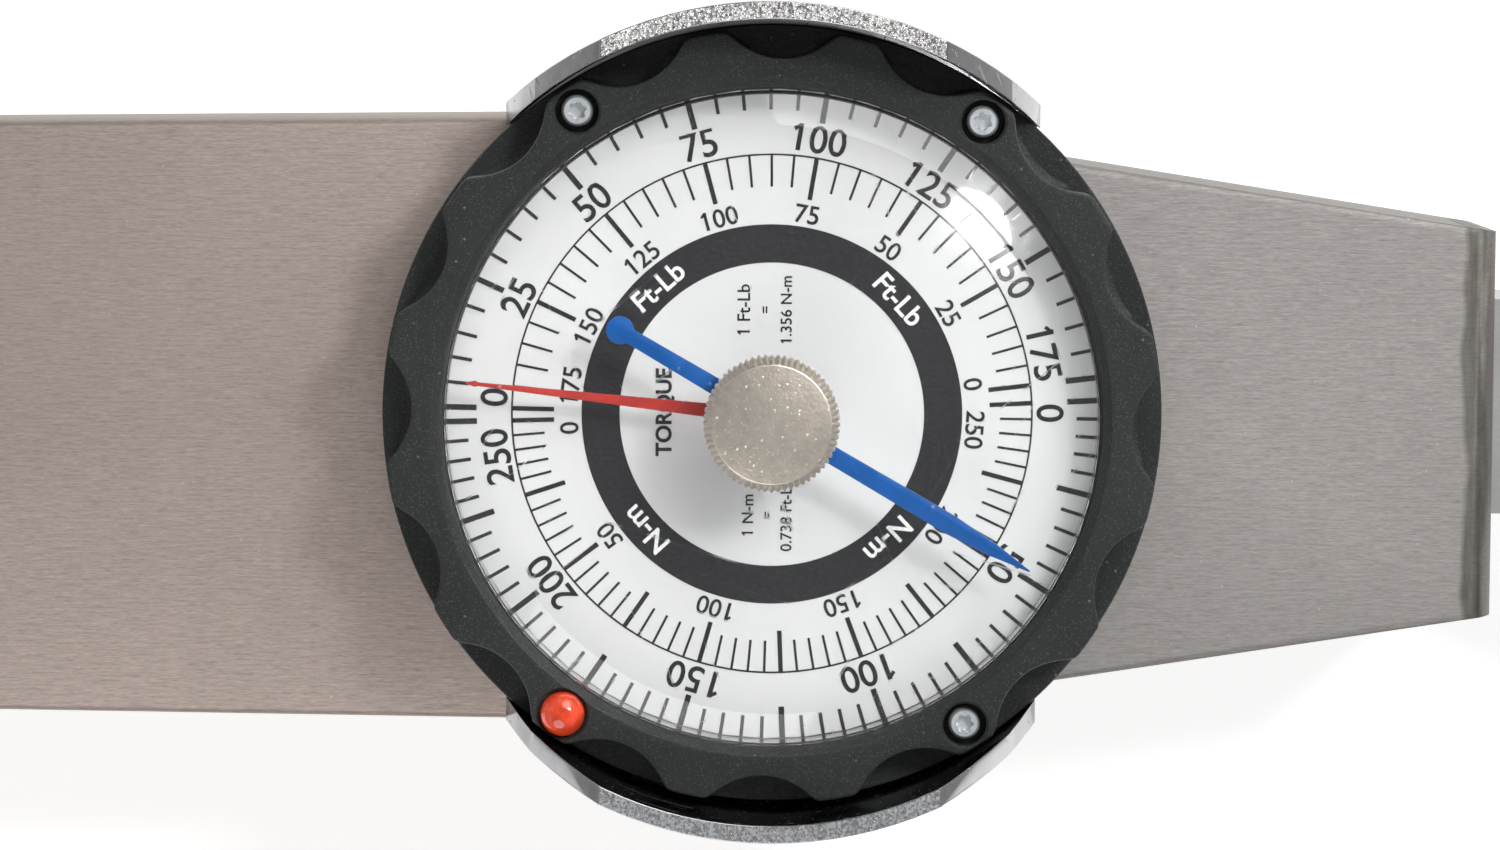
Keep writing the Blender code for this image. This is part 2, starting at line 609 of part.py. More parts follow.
def build_drive_square():
    half = SQUARE / 2
    square = box("drive_square", (DRIVE_OFFSET - half, -half, 0.0),
                 (DRIVE_OFFSET + half, half, SQUARE_TOP), HEAD, "forged_steel")

    def is_tip(a, b):
        return max(a.z, b.z) < 0.01

    def is_corner(a, b):
        return abs(a.z - b.z) > 1

    round_edges(square, is_corner, SQUARE_CHAMFER, 2)
    round_edges(square, is_tip, SQUARE_CHAMFER, 1)
    shank = rod("drive_shank", SHANK_R, SQUARE_TOP - 2, 30.5, HEAD, None, x=DRIVE_OFFSET, segments=32)
    boolean(square, shank, "UNION")
    ball_bore = rod("ball_bore", SPRING_BORE_R, 0.0, half + 3, HEAD, None, segments=24)
    ball_bore.matrix_local = ball_place(0.0)
    cross = rod("shank_cross_hole", 1.8, -30.0, 30.0, HEAD, None, segments=16)
    cross.matrix_local = cross_hole_place()
    boolean(square, ball_bore)
    boolean(square, cross)
    pin = rod("drive_retaining_pin", 1.5, -16.0, 16.0, HEAD, "zinc", segments=16)
    pin.matrix_local = cross_hole_place()


def ball_place(offset):
    """Frame whose local Z points out of the square's +X side at the ball's height."""
    place = Matrix.Translation(((DRIVE_OFFSET + offset) * MM, 0.0, BALL_Z * MM))
    return place @ Matrix.Rotation(math.radians(90), 4, "Y")


def build_detent():
    mesh = bpy.data.meshes.new("detent_ball")
    bm = bmesh.new()
    bmesh.ops.create_uvsphere(bm, u_segments=12, v_segments=8, radius=BALL_R * MM)
    bm.to_mesh(mesh)
    bm.free()
    mesh.shade_smooth()
    ball = add_object("detent_ball", mesh, BALL, "zinc")
    ball.location = (0.0, 0.0, BALL_Z * MM)
    # the spring is drawn at its length with the ball out
    spring_start, spring_end = 0.6, SQUARE / 2 + BALL_PROUD - 2 * BALL_R - GAP
    sleeve("detent_spring", 0.9, 1.6, spring_start, spring_end, HEAD, "spring_steel",
           segments=16).matrix_local = ball_place(0.0)


def build_beam():
    front, rear = -7.0, BEAM_END_X - PIVOT_X
    outline = [(front, 7.0), (-30.0, 7.0), (rear, 4.5), (rear, -4.5), (-30.0, -7.0), (front, -7.0)]
    beam = plate("measuring_beam", [outline], BEAM_BOTTOM, BEAM_TOP, HEAD, "spring_steel")
    for i, x in enumerate(BEAM_PIN_XS):
        boolean(beam, rod(f"beam_hole_{i + 1}", 2.0 + GAP, 0.0, 60.0, HEAD, None, x=x, segments=20))
    screw_x = SECTOR_X - LEVER_R - 13 - PIVOT_X
    boolean(beam, rod("fork_screw_hole", 1.3, 24.0, 40.0, HEAD, None, x=screw_x, segments=16))
    build_fork(screw_x)


def build_fork(screw_x):
    """Plate on the beam whose open slot drives the sector's lever pin."""
    pin_x = SECTOR_X - LEVER_R - PIVOT_X
    tip, back = pin_x + 1.9, pin_x - 18
    slot = LEVER_PIN_R + SLOT_GAP
    outline = [(tip, 4.0), (back, 4.0), (back, -4.0), (tip, -4.0), (tip, -slot),
               (pin_x - 2.4, -slot), (pin_x - 2.4, slot), (tip, slot)]
    hole = arc(screw_x, 0.0, 1.3, 0, 337.5, 15)
    plate("fork", [outline, hole], BEAM_TOP + GAP, BEAM_TOP + GAP + 1.6, HEAD, "brass")
    top_head_screw("fork_screw", screw_x, 0.0, 2.4, 1.0, BEAM_TOP + 2 * GAP + 1.6, 1.4, 6.5,
                   HEAD, "zinc")


def gear_outline(pitch_r, teeth, first, count, phase):
    """Tooth outline between two tooth numbers. phase is the angle of tooth 0, in degrees."""
    addendum, dedendum, flank = 0.4, 0.65, math.tan(math.radians(20))
    half_pitch = 0.26
    points = []
    for k in range(first, first + count):
        middle = phase + 360 * k / teeth
        for radius, sign in ((pitch_r - dedendum, -1), (pitch_r + addendum, -1),
                             (pitch_r + addendum, 1), (pitch_r - dedendum, 1)):
            half = half_pitch + (pitch_r - radius) * flank
            angle = math.radians(middle) + sign * half / radius
            points.append((radius * math.cos(angle), radius * math.sin(angle)))
    return points


def build_sector():
    count = SECTOR_CUT_TEETH + 1
    teeth = gear_outline(SECTOR_PITCH_R, SECTOR_TEETH, -count // 2, count, 180 / SECTOR_TEETH)
    tail = LEVER_R + 2.6
    body = [(2.0, 5.5), (-tail, 2.6), (-tail, -2.6), (2.0, -5.5)]
    arbor_hole = arc(0.0, 0.0, ARBOR_R + SLOT_GAP, 0, 337.5, 15)
    pin_hole = arc(-LEVER_R, 0.0, LEVER_PIN_R + SLOT_GAP, 0, 337.5, 15)
    plate("sector_gear", [teeth + body, arbor_hole, pin_hole], GEAR_BOTTOM, GEAR_TOP, SECTOR, "brass")
    rod("sector_arbor", ARBOR_R, BRIDGE_BOTTOM + GAP, PLATE_TOP - GAP, SECTOR, "zinc", segments=20)
    rod("lever_pin", LEVER_PIN_R, BEAM_TOP + GAP + SLOT_GAP, GEAR_TOP + SLOT_GAP, SECTOR, "zinc",
        x=-LEVER_R, segments=16)


def build_pointer():
    teeth = gear_outline(PINION_PITCH_R, PINION_TEETH, 0, PINION_TEETH, 180.0)
    bore = arc(0.0, 0.0, SPINDLE_R + SLOT_GAP, 0, 337.5, 15)
    plate("spindle_pinion", [teeth, bore], GEAR_BOTTOM, GEAR_TOP, POINTER, "brass")
    rod("pointer_spindle", SPINDLE_R, BRIDGE_BOTTOM + GAP, RED_POINTER_Z + 0.9, POINTER, "zinc",
        segments=20)
    wide, narrow, hub = 0.85, 0.25, 2.6
    outline = arc(0.0, 0.0, hub, 20, 340, 20) + [
        (hub + 0.4, -wide), (RED_POINTER_LENGTH - 1.5, -narrow), (RED_POINTER_LENGTH, 0.0),
        (RED_POINTER_LENGTH - 1.5, narrow), (hub + 0.4, wide)]
    arm = plate("torque_pointer", [outline, bore], RED_POINTER_Z, RED_POINTER_Z + 0.5, POINTER,
                "red_paint")
    arm.rotation_euler = (0.0, 0.0, math.radians(RED_POINTER_ANGLE))


def on_dial(angle_from_y, radius=SCREW_CIRCLE_R):
    """Place on the dial, by its angle from the dial's Y axis towards +X."""
    turn = math.radians(90 - angle_from_y)
    return radius * math.cos(turn), radius * math.sin(turn)


BEZEL_SCREW_ANGLES = (SCREW_FROM_Y, -SCREW_FROM_Y, 180 - SCREW_FROM_Y)
LED_ANGLE = 180 + SCREW_FROM_Y
LED_SEAT = 55.7
LED_R, LED_STEM_R = 2.4, 1.4


def build_bezel():
    profile = [
        (BEZEL_OPENING_R, BEZEL_TOP - BEZEL_EDGE), (BEZEL_OPENING_R + BEZEL_EDGE, BEZEL_TOP),
        (BEZEL_BODY_R - BEZEL_EDGE, BEZEL_TOP), (BEZEL_BODY_R, BEZEL_TOP - BEZEL_EDGE),
        (BEZEL_BODY_R, BEZEL_FLANGE_TOP), (BEZEL_FLANGE_R, BEZEL_FLANGE_TOP),
        (BEZEL_FLANGE_R, BEZEL_BOTTOM), (BEZEL_BORE_R, BEZEL_BOTTOM), (BEZEL_BORE_R, BEZEL_LIP),
        (BEZEL_OPENING_R, BEZEL_LIP),
    ]
    bezel = turned("bezel", profile, DIAL, "black_plastic", closed=True, segments=96)
    boolean(bezel, scallop_cutters())
    for i, angle in enumerate(BEZEL_SCREW_ANGLES):
        x, y = on_dial(angle)
        hole = stepped_cutter(f"bezel_screw_hole_{i + 1}", 2.35, BEZEL_SCREW_SEAT, 1.2, x, y)
        boolean(bezel, hole)
        top_head_screw(f"bezel_screw_{i + 1}", x, y, 1.75, 0.95, BEZEL_SCREW_SEAT + GAP, 1.8, 8.7,
                       DIAL, "zinc")
    x, y = on_dial(LED_ANGLE)
    boolean(bezel, stepped_cutter("led_hole", LED_R + 0.25, LED_SEAT, LED_STEM_R + 0.2, x, y))


def stepped_cutter(name, wide_r, seat, narrow_r, x, y):
    """Cuts a wide hole down to its seat and a narrow one from there down."""
    above, below = BEZEL_TOP + 4, BEZEL_BOTTOM - 7
    profile = [(0.0, above), (wide_r, above), (wide_r, seat), (narrow_r, seat), (narrow_r, below),
               (0.0, below)]
    return turned(name, profile, DIAL, None, x=x, y=y, segments=24)


def scallop_cutters():
    """One ring of upright cylinders that cut the finger grips down to the flange."""
    bm = bmesh.new()
    radius = SCALLOP_REACH + SCALLOP_R
    height = 12.0
    for i in range(SCALLOPS):
        angle = 2 * math.pi * i / SCALLOPS
        place = Matrix.Translation((radius * math.cos(angle) * MM, radius * math.sin(angle) * MM,
                                    (BEZEL_FLANGE_TOP + height / 2) * MM))
        turn = Matrix.Rotation(angle, 4, "Z")
        bmesh.ops.create_cone(bm, cap_ends=True, segments=20, radius1=SCALLOP_R * MM,
                              radius2=SCALLOP_R * MM, depth=height * MM, matrix=place @ turn)
    mesh = bpy.data.meshes.new("scallop_cutters")
    bm.to_mesh(mesh)
    bm.free()
    return add_object("scallop_cutters", mesh, DIAL, None)


def build_dial_fittings():
    """Retaining ring, face, gasket, lens and signal lamp, which turn with the bezel."""
    top, shelf, bottom = BEZEL_BOTTOM - GAP, 45.7, 44.2
    bore_r, lip_r, outer_r = 37.3, 35.2, BEZEL_FLANGE_R - GAP
    ring_profile = [
        (bore_r, top), (outer_r, top), (outer_r, bottom), (lip_r, bottom), (lip_r, shelf),
        (bore_r, shelf),
    ]
    ring = turned("retaining_ring", ring_profile, DIAL, "black_plastic", closed=True, segments=48)
    for i, angle in enumerate(BEZEL_SCREW_ANGLES):
        x, y = on_dial(angle)
        boolean(ring, rod(f"ring_screw_hole_{i + 1}", 1.2, 40.0, 50.0, DIAL, None, x=x, y=y, segments=16))
    sleeve("dial_face", 3.0, FACE_R, FACE_TOP - 1.2, FACE_TOP, DIAL, "dial_white", segments=48)
    sleeve("lens_gasket", 35.4, FACE_R, FACE_TOP + GAP, LENS_BOTTOM - GAP, DIAL, "rubber", segments=48)
    build_lens()
    x, y = on_dial(LED_ANGLE)
    collar, stem_end = LED_SEAT + 0.25, 47.6
    led_profile = [(0.0, 58.3), (1.2, 58.0), (2.1, 57.2), (LED_R, 56.4), (LED_R, collar),
                   (LED_STEM_R, collar), (LED_STEM_R, stem_end), (0.0, stem_end)]
    turned("signal_led", led_profile, DIAL, "red_led", x=x, y=y, segments=24)
    board_x, board_y = on_dial(LED_ANGLE, 24.0)
    board = rounded_box_outline(board_x - 9, board_x + 9, board_y - 5, board_y + 5, 1.0)
    plate("signal_board", [board], 47.7, 48.5, DIAL, "board_green")
    rod("coin_cell", 5.0, 45.8, 47.4, DIAL, "zinc", x=board_x, y=board_y, segments=32)


def build_lens():
    wall, rise_r, hole_r = 1.4, 31.5, 2.3
    inner_r = LENS_STEP_R - wall
    profile = [
        (hole_r, LENS_TOP), (rise_r, LENS_TOP), (LENS_STEP_R, LENS_RIM), (LENS_STEP_R, LENS_FLANGE_TOP),
        (FACE_R, LENS_FLANGE_TOP), (FACE_R, LENS_BOTTOM), (inner_r, LENS_BOTTOM),
        (inner_r, LENS_RIM - wall + 0.5), (rise_r - 0.3, LENS_TOP - wall), (hole_r, LENS_TOP - wall),
    ]
    turned("lens", profile, DIAL, "lens_clear", closed=True, segments=48)


def build_memory_pointer():
    hub = 4.0
    wide, narrow = 1.05, 0.3
    tail_r = 1.5
    tail_reach = math.degrees(math.asin(wide / tail_r))
    outline = (arc(0.0, 0.0, hub, 17, 163, 12)
               + [(-BLUE_TAIL_LENGTH + 1.2, 0.85)]
               + arc(-BLUE_TAIL_LENGTH, 0.0, tail_r, tail_reach, 360 - tail_reach, 16)
               + [(-BLUE_TAIL_LENGTH + 1.2, -0.85)]
               + arc(0.0, 0.0, hub, 197, 343, 12)
               + [(BLUE_POINTER_LENGTH - 3.0, -wide * 0.75), (BLUE_POINTER_LENGTH, -narrow * 0.3),
                  (BLUE_POINTER_LENGTH, narrow * 0.3), (BLUE_POINTER_LENGTH - 3.0, wide * 0.75)])
    bore = arc(0.0, 0.0, 2.1, 0, 345, 23)
    arm = plate("memory_pointer", [outline, bore], BLUE_POINTER_Z, BLUE_POINTER_Z + 0.5, MEMORY,
                "blue_paint")
    arm.rotation_euler = (0.0, 0.0, math.radians(BLUE_POINTER_ANGLE))
    stem_r, foot_r = 1.8, 3.2
    stem_top, foot_top, foot_bottom = KNOB_TOP - 1.2, BLUE_POINTER_Z - 0.4, BLUE_POINTER_Z - 1.2
    stem_profile = [(0.0, stem_top), (stem_r, stem_top), (stem_r, foot_top), (foot_r, foot_top),
                    (foot_r, foot_bottom), (0.0, foot_bottom)]
    turned("memory_stem", stem_profile, MEMORY, "zinc", segments=24)
    build_knob()


def build_knob():
    tooth = 0.35
    outline = []
    for i in range(KNOB_TEETH):
        for part, radius in ((0.0, KNOB_R), (0.5, KNOB_R - tooth)):
            angle = 2 * math.pi * (i + part) / KNOB_TEETH
            outline.append((radius * math.cos(angle), radius * math.sin(angle)))
    knob = plate("memory_knob", [outline], KNOB_BOTTOM, KNOB_TOP, MEMORY, "nickel")
    bevel = 0.9
    bevel_profile = [
        (KNOB_FACE_R - 0.1, KNOB_TOP + 0.1), (KNOB_R + 2, KNOB_TOP + 0.1),
        (KNOB_R + 2, KNOB_TOP - bevel), (KNOB_R + 0.1, KNOB_TOP - bevel),
    ]
    boolean(knob, turned("knob_bevel", bevel_profile, MEMORY, None, closed=True, segments=60))
    boolean(knob, rod("knob_bore", 2.1, KNOB_BOTTOM - 9, KNOB_TOP - bevel, MEMORY, None,
                       segments=24))


clear_scene()
PARTS = make_collection(PART_NAME)
CUTTERS = make_collection("cutters")
for material_name in MATERIALS:
    make_material(material_name)
ROOT = make_group("wrench_frame", 0.0)
HEAD = make_group("head_axis", PIVOT_X)
BALL = make_group("ball_slide", SQUARE / 2 + BALL_PROUD - BALL_R)
SECTOR = make_group("sector_axis", SECTOR_X)
POINTER = make_group("pointer_axis", DIAL_X)
DIAL = make_group("dial_axis", DIAL_X, DIAL_TURN)
MEMORY = make_group("memory_axis", DIAL_X)

build_case_upper()
build_case_lower()
build_case_fasteners()
build_anchor_block()
build_guard()
build_pan()
build_movement_frame()
build_hairspring()
build_handle()
build_pivot_pin()
build_head()
build_drive_square()
build_detent()
build_beam()
build_sector()
build_pointer()
build_bezel()
build_dial_fittings()
build_memory_pointer()
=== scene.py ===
"""Looks of a dial torque wrench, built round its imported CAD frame.

Laid out as an add-on: property groups hold sizes and colours, one operator makes each piece or
group of like pieces, and a panel lists them. Lengths are in metres, angles in degrees.
"""

import math

import bmesh
import bpy
from bpy.props import FloatProperty, FloatVectorProperty, IntProperty, PointerProperty
from mathutils import Matrix, Vector


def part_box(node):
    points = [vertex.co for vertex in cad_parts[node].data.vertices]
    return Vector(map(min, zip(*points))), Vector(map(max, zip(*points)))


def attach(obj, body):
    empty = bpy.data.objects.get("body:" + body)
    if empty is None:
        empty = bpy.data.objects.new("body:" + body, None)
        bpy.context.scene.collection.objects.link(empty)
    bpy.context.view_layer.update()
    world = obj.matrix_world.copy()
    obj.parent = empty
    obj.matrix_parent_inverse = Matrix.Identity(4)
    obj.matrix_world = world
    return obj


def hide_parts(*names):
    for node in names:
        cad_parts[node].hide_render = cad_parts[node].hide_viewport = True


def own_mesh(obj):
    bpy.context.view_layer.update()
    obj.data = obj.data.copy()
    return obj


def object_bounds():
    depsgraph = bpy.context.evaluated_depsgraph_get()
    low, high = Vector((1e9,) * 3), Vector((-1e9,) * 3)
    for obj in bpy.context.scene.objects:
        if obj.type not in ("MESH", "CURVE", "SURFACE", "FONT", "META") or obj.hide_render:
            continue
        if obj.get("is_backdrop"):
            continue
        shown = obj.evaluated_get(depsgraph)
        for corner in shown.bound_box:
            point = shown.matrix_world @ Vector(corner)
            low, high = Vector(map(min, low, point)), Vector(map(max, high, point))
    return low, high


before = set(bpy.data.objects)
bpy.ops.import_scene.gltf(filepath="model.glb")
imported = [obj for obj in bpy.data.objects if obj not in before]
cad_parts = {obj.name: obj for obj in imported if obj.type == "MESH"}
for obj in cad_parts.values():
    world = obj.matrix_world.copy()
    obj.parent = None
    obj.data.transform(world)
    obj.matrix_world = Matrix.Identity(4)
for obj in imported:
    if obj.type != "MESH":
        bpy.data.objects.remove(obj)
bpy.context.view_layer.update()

bl_info = {
    "name": "Dial Torque Wrench",
    "version": (1, 0, 0),
    "blender": (4, 5, 0),
    "location": "View3D > Sidebar > Torque Wrench",
    "description": "Builds the visible pieces of a dial torque wrench",
    "category": "Object",
}

MM = 0.001
MERGE = 1e-6


def middle(node):
    low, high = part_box(node)
    return (low + high) / 2


def radius_of(node):
    low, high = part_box(node)
    return (high.x - low.x) / 2


DIAL_AXIS = Vector((middle("lens").x, 0.0, 0.0))
FACE_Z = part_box("dial_face")[1].z
FACE_R = radius_of("dial_face")
BEZEL_LOW, BEZEL_HIGH = (corner.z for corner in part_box("bezel"))
LENS_LOW, LENS_TOP = (corner.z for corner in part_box("lens"))
KNOB_LOW, KNOB_TOP = (corner.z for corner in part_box("memory_knob"))
HANDLE_Z = middle("handle_tube").z


# ---------------------------------------------------------------- properties


def length_property(name, default, description):
    return FloatProperty(name=name, default=default, unit="LENGTH", description=description)


def colour_property(name, default, description):
    return FloatVectorProperty(name=name, subtype="COLOR", size=3, min=0, max=1, default=default,
                               description=description)


class DialSettings(bpy.types.PropertyGroup):
    """Sizes and colours of the printed face, as drawn on it."""

    outer_zero_lb: FloatProperty(name="Outer ft-lb zero", default=178.9,
                                 description="Angle of the outer ft-lb zero, in degrees from +X")
    outer_zero_nm: FloatProperty(name="Outer N-m zero", default=2.77,
                                 description="Angle of the outer N-m zero, in degrees from +X")
    inner_zero_lb: FloatProperty(name="Inner ft-lb zero", default=6.79,
                                 description="Angle of the inner ft-lb zero, in degrees from +X")
    inner_zero_nm: FloatProperty(name="Inner N-m zero", default=181.59,
                                 description="Angle of the inner N-m zero, in degrees from +X")
    circle_r: length_property("Fine circle", 28.23 * MM,
                              "Radius of the thin circle that the inner ticks hang from")
    ring_in: length_property("Ring inside", 16.53 * MM, "Inner radius of the black ring")
    ring_out: length_property("Ring outside", 20.67 * MM, "Outer radius of the black ring")
    outer_digits: length_property("Outer digits", 3.0 * MM, "Height of the outer numbers")
    inner_digits: length_property("Inner digits", 2.05 * MM, "Height of the inner numbers")
    face_colour: colour_property("Face", (0.68, 0.68, 0.675), "White of the face")
    ink_colour: colour_property("Ink", (0.016, 0.016, 0.018), "Black of the print")
    red: colour_property("Red pointer", (0.46, 0.035, 0.028), "Enamel of the red pointer")
    blue: colour_property("Blue pointer", (0.001, 0.085, 0.33), "Enamel of the blue pointer")


class BezelSettings(bpy.types.PropertyGroup):
    """Sizes and colours of the bezel and of what is set in it."""

    scallops: IntProperty(name="Scallops", default=16, description="Finger grips round the rim")
    scallop_r: length_property("Scallop radius", 7.1 * MM, "Radius of each finger grip")
    scallop_reach: length_property("Scallop reach", 38.75 * MM,
                                   "Distance from the axis to the floor of a finger grip")
    body_r: length_property("Body radius", 41.8 * MM, "Radius of the bezel above its flange")
    opening_r: length_property("Opening radius", 35.65 * MM, "Radius of the window")
    flange_h: length_property("Flange height", 3.4 * MM,
                              "Height of the round flange under the finger grips")
    turn: FloatProperty(name="Turn", default=-1.28,
                        description="How far the bezel is turned at rest, in degrees")
    plastic: colour_property("Plastic", (0.022, 0.024, 0.024), "Charcoal of the moulding")
    lamp: colour_property("Lamp", (0.92, 0.075, 0.018), "Red of the signal lamp")
    nickel: colour_property("Nickel", (0.82, 0.74, 0.645), "Satin nickel of the knob")


class BodySettings(bpy.types.PropertyGroup):
    """Colours of the case, guard, head and handle."""

    warm_steel: colour_property("Warm steel", (0.55, 0.465, 0.42), "Case at the handle end")
    cool_steel: colour_property("Cool steel", (0.455, 0.43, 0.415), "Case at the drive end")
    chrome: colour_property("Chrome", (0.50, 0.50, 0.51), "Plating of guard and handle")
    rubber: colour_property("Rubber", (0.018, 0.018, 0.019), "Grip rubber")


class StageSettings(bpy.types.PropertyGroup):
    """Camera, floor and lamps."""

    lens_mm: FloatProperty(name="Focal length", default=122.0, min=1.0,
                           description="Camera focal length in millimetres")
    height: length_property("Camera height", 0.55, "Camera height above the dial's face")
    lean: length_property("Camera lean", 47.9 * MM,
                          "How far the camera stands off the dial's axis towards +Y")
    roll: FloatProperty(name="Roll", default=0.27, description="Camera roll in degrees")


# ---------------------------------------------------------------- node helpers


def new_group(name, inputs, outputs):
    group = bpy.data.node_groups.new(name, "ShaderNodeTree")
    for socket, default in inputs.items():
        kind = "NodeSocketVector" if default is None else "NodeSocketFloat"
        made = group.interface.new_socket(name=socket, in_out="INPUT", socket_type=kind)
        if default is not None:
            made.default_value = default
    for socket in outputs:
        group.interface.new_socket(name=socket, in_out="OUTPUT", socket_type="NodeSocketFloat")
    start = group.nodes.new("NodeGroupInput")
    end = group.nodes.new("NodeGroupOutput")
    return group, start, end


def add_node(tree, kind, links=None, **settings):
    """A node with its inputs set: a number or colour is set on the socket, a socket is linked."""
    node = tree.nodes.new(kind)
    for name, value in settings.items():
        setattr(node, name, value)
    for socket, value in (links or {}).items():
        if isinstance(value, bpy.types.NodeSocket):
            tree.links.new(value, node.inputs[socket])
        else:
            node.inputs[socket].default_value = value
    return node


def maths(tree, operation, a, b=0.0):
    return add_node(tree, "ShaderNodeMath", {0: a, 1: b}, operation=operation).outputs[0]


def ramp(tree, factor, low, high, out_low=0.0, out_high=1.0):
    node = add_node(tree, "ShaderNodeMapRange", {
        "Value": factor, "From Min": low, "From Max": high, "To Min": out_low, "To Max": out_high})
    return node.outputs["Result"]


def mix_colour(tree, factor, a, b, blend="MIX"):
    node = add_node(tree, "ShaderNodeMix", data_type="RGBA", blend_type=blend)
    for socket, value in ((node.inputs["Factor"], factor), (node.inputs[6], a), (node.inputs[7], b)):
        if isinstance(value, bpy.types.NodeSocket):
            tree.links.new(value, socket)
        elif socket.type == "RGBA":
            socket.default_value = (*value[:3], 1.0)
        else:
            socket.default_value = value
    return node.outputs[2]


def noise(tree, vector, scale, detail=4.0, roughness=0.5, stretch=(1.0, 1.0, 1.0)):
    moved = add_node(tree, "ShaderNodeMapping", {"Vector": vector, "Scale": stretch})
    node = add_node(tree, "ShaderNodeTexNoise", {
        "Vector": moved.outputs["Vector"], "Scale": scale, "Detail": detail, "Roughness": roughness})
    return node.outputs["Fac"]


def build_brushing_group():
    """Short fine lines along X, as abrasive belts leave on sheet steel, and soft clouds."""
    group, start, end = new_group("Brushing", {"Vector": None, "Coarse": 0.5}, ["Lines", "Cloud"])
    vector = start.outputs["Vector"]
    fine = noise(group, vector, 1.0, 3.0, 0.6, (950.0, 8500.0, 8500.0))
    broad = noise(group, vector, 1.0, 3.0, 0.65, (260.0, 3800.0, 3800.0))
    lines = add_node(group, "ShaderNodeMix", {"Factor": start.outputs["Coarse"], 2: fine, 3: broad})
    cloud = noise(group, vector, 26.0, 3.0, 0.55, (0.6, 1.0, 1.0))
    group.links.new(lines.outputs[0], end.inputs["Lines"])
    group.links.new(cloud, end.inputs["Cloud"])
    return group


def build_speckle_group():
    """Small random spots, for dust, chips and painted sparkle, and a fine grain."""
    group, start, end = new_group("Speckle", {"Vector": None, "Scale": 2000.0, "Share": 0.1},
                                  ["Spots", "Grain"])
    cells = add_node(group, "ShaderNodeTexVoronoi",
                     {"Vector": start.outputs["Vector"], "Scale": start.outputs["Scale"]})
    pick = add_node(group, "ShaderNodeSeparateColor", {"Color": cells.outputs["Color"]})
    chosen = maths(group, "LESS_THAN", pick.outputs["Red"], start.outputs["Share"])
    core = ramp(group, cells.outputs["Distance"], 0.42, 0.12)
    group.links.new(maths(group, "MULTIPLY", chosen, core), end.inputs["Spots"])
    grain = noise(group, start.outputs["Vector"], 1.0, 2.0, 0.6, (2600.0, 2600.0, 2600.0))
    group.links.new(grain, end.inputs["Grain"])
    return group


def build_scratch_group():
    """Sparse hairline scratches in several directions."""
    group, start, end = new_group("Scratches", {"Vector": None, "Amount": 0.5}, ["Scratch"])
    total = None
    for turn, offset in ((17.0, 0.0), (68.0, 0.4), (-39.0, 0.9), (121.0, 1.7)):
        moved = add_node(group, "ShaderNodeMapping", {
            "Vector": start.outputs["Vector"], "Rotation": (0.0, 0.0, math.radians(turn)),
            "Location": (offset, offset, 0.0)})
        lines = noise(group, moved.outputs["Vector"], 1.0, 1.0, 0.4, (34.0, 2100.0, 900.0))
        thin = ramp(group, lines, 0.735, 0.76)
        total = thin if total is None else maths(group, "MAXIMUM", total, thin)
    result = maths(group, "MULTIPLY", total, start.outputs["Amount"])
    group.links.new(result, end.inputs["Scratch"])
    return group


GROUPS = {}


def place_group(tree, name, vector, **values):
    node = tree.nodes.new("ShaderNodeGroup")
    node.node_tree = GROUPS[name]
    tree.links.new(vector, node.inputs["Vector"])
    for socket, value in values.items():
        node.inputs[socket].default_value = value
    return node


def new_material(name, colour, roughness, metallic=0.0):
    material = bpy.data.materials.new(name)
    material.use_nodes = True
    material.diffuse_color = (*colour[:3], 1.0)
    tree = material.node_tree
    shader = tree.nodes["Principled BSDF"]
    shader.inputs["Base Color"].default_value = (*colour[:3], 1.0)
    shader.inputs["Roughness"].default_value = roughness
    shader.inputs["Metallic"].default_value = metallic
    coordinates = tree.nodes.new("ShaderNodeTexCoord")
    return material, tree, shader, coordinates.outputs["Object"]


def tint(tree, shader, factor, a, b):
    """Colours a material from a to b."""
    tree.links.new(mix_colour(tree, factor, a, b), shader.inputs["Base Color"])


def roughen(tree, shader, factor, low, high, out_low, out_high):
    """Roughness that runs from out_low to out_high as the factor runs from low to high."""
    tree.links.new(ramp(tree, factor, low, high, out_low, out_high), shader.inputs["Roughness"])


def bump(tree, shader, height, distance, strength=1.0):
    node = add_node(tree, "ShaderNodeBump", {"Height": height, "Distance": distance,
                                             "Strength": strength})
    tree.links.new(node.outputs["Normal"], shader.inputs["Normal"])


# ---------------------------------------------------------------- materials

MATERIALS = {}


def fold_shade(tree, place, apart):
    """Painted shade and reflection on the case: a ragged dark band where it folds down at the drive end,
    with a lighter stripe in it, and darker colour below the level of the top face, where its edges bend
    away.
    """
    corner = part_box("case_upper")[1]
    band = corner.x - 3.9 * MM
    wander = noise(tree, place, 90.0, 2.0, 0.5)
    edge = maths(tree, "ADD", apart.outputs["X"], ramp(tree, wander, 0.2, 0.8, -0.9 * MM, 0.9 * MM))
    painted_fold_mask = ramp(tree, edge, band, band + 0.7 * MM)
    painted_fold_light = ramp(tree, edge, band + 2.6 * MM, band + 3.2 * MM)
    dark = maths(tree, "SUBTRACT", painted_fold_mask, maths(tree, "MULTIPLY", painted_fold_light, 0.55))
    streaks = noise(tree, place, 1.0, 4.0, 0.7, (900.0, 160.0, 160.0))
    dark = maths(tree, "MULTIPLY", dark, ramp(tree, streaks, 0.3, 0.7, 0.60, 0.95))
    # Painted shade below the top face: the edges and sides of the case are drawn darker.
    painted_bend_shade = ramp(tree, apart.outputs["Z"], corner.z - 0.02 * MM, corner.z - 0.15 * MM, 0.0, 0.40)
    return maths(tree, "MAXIMUM", dark, painted_bend_shade)


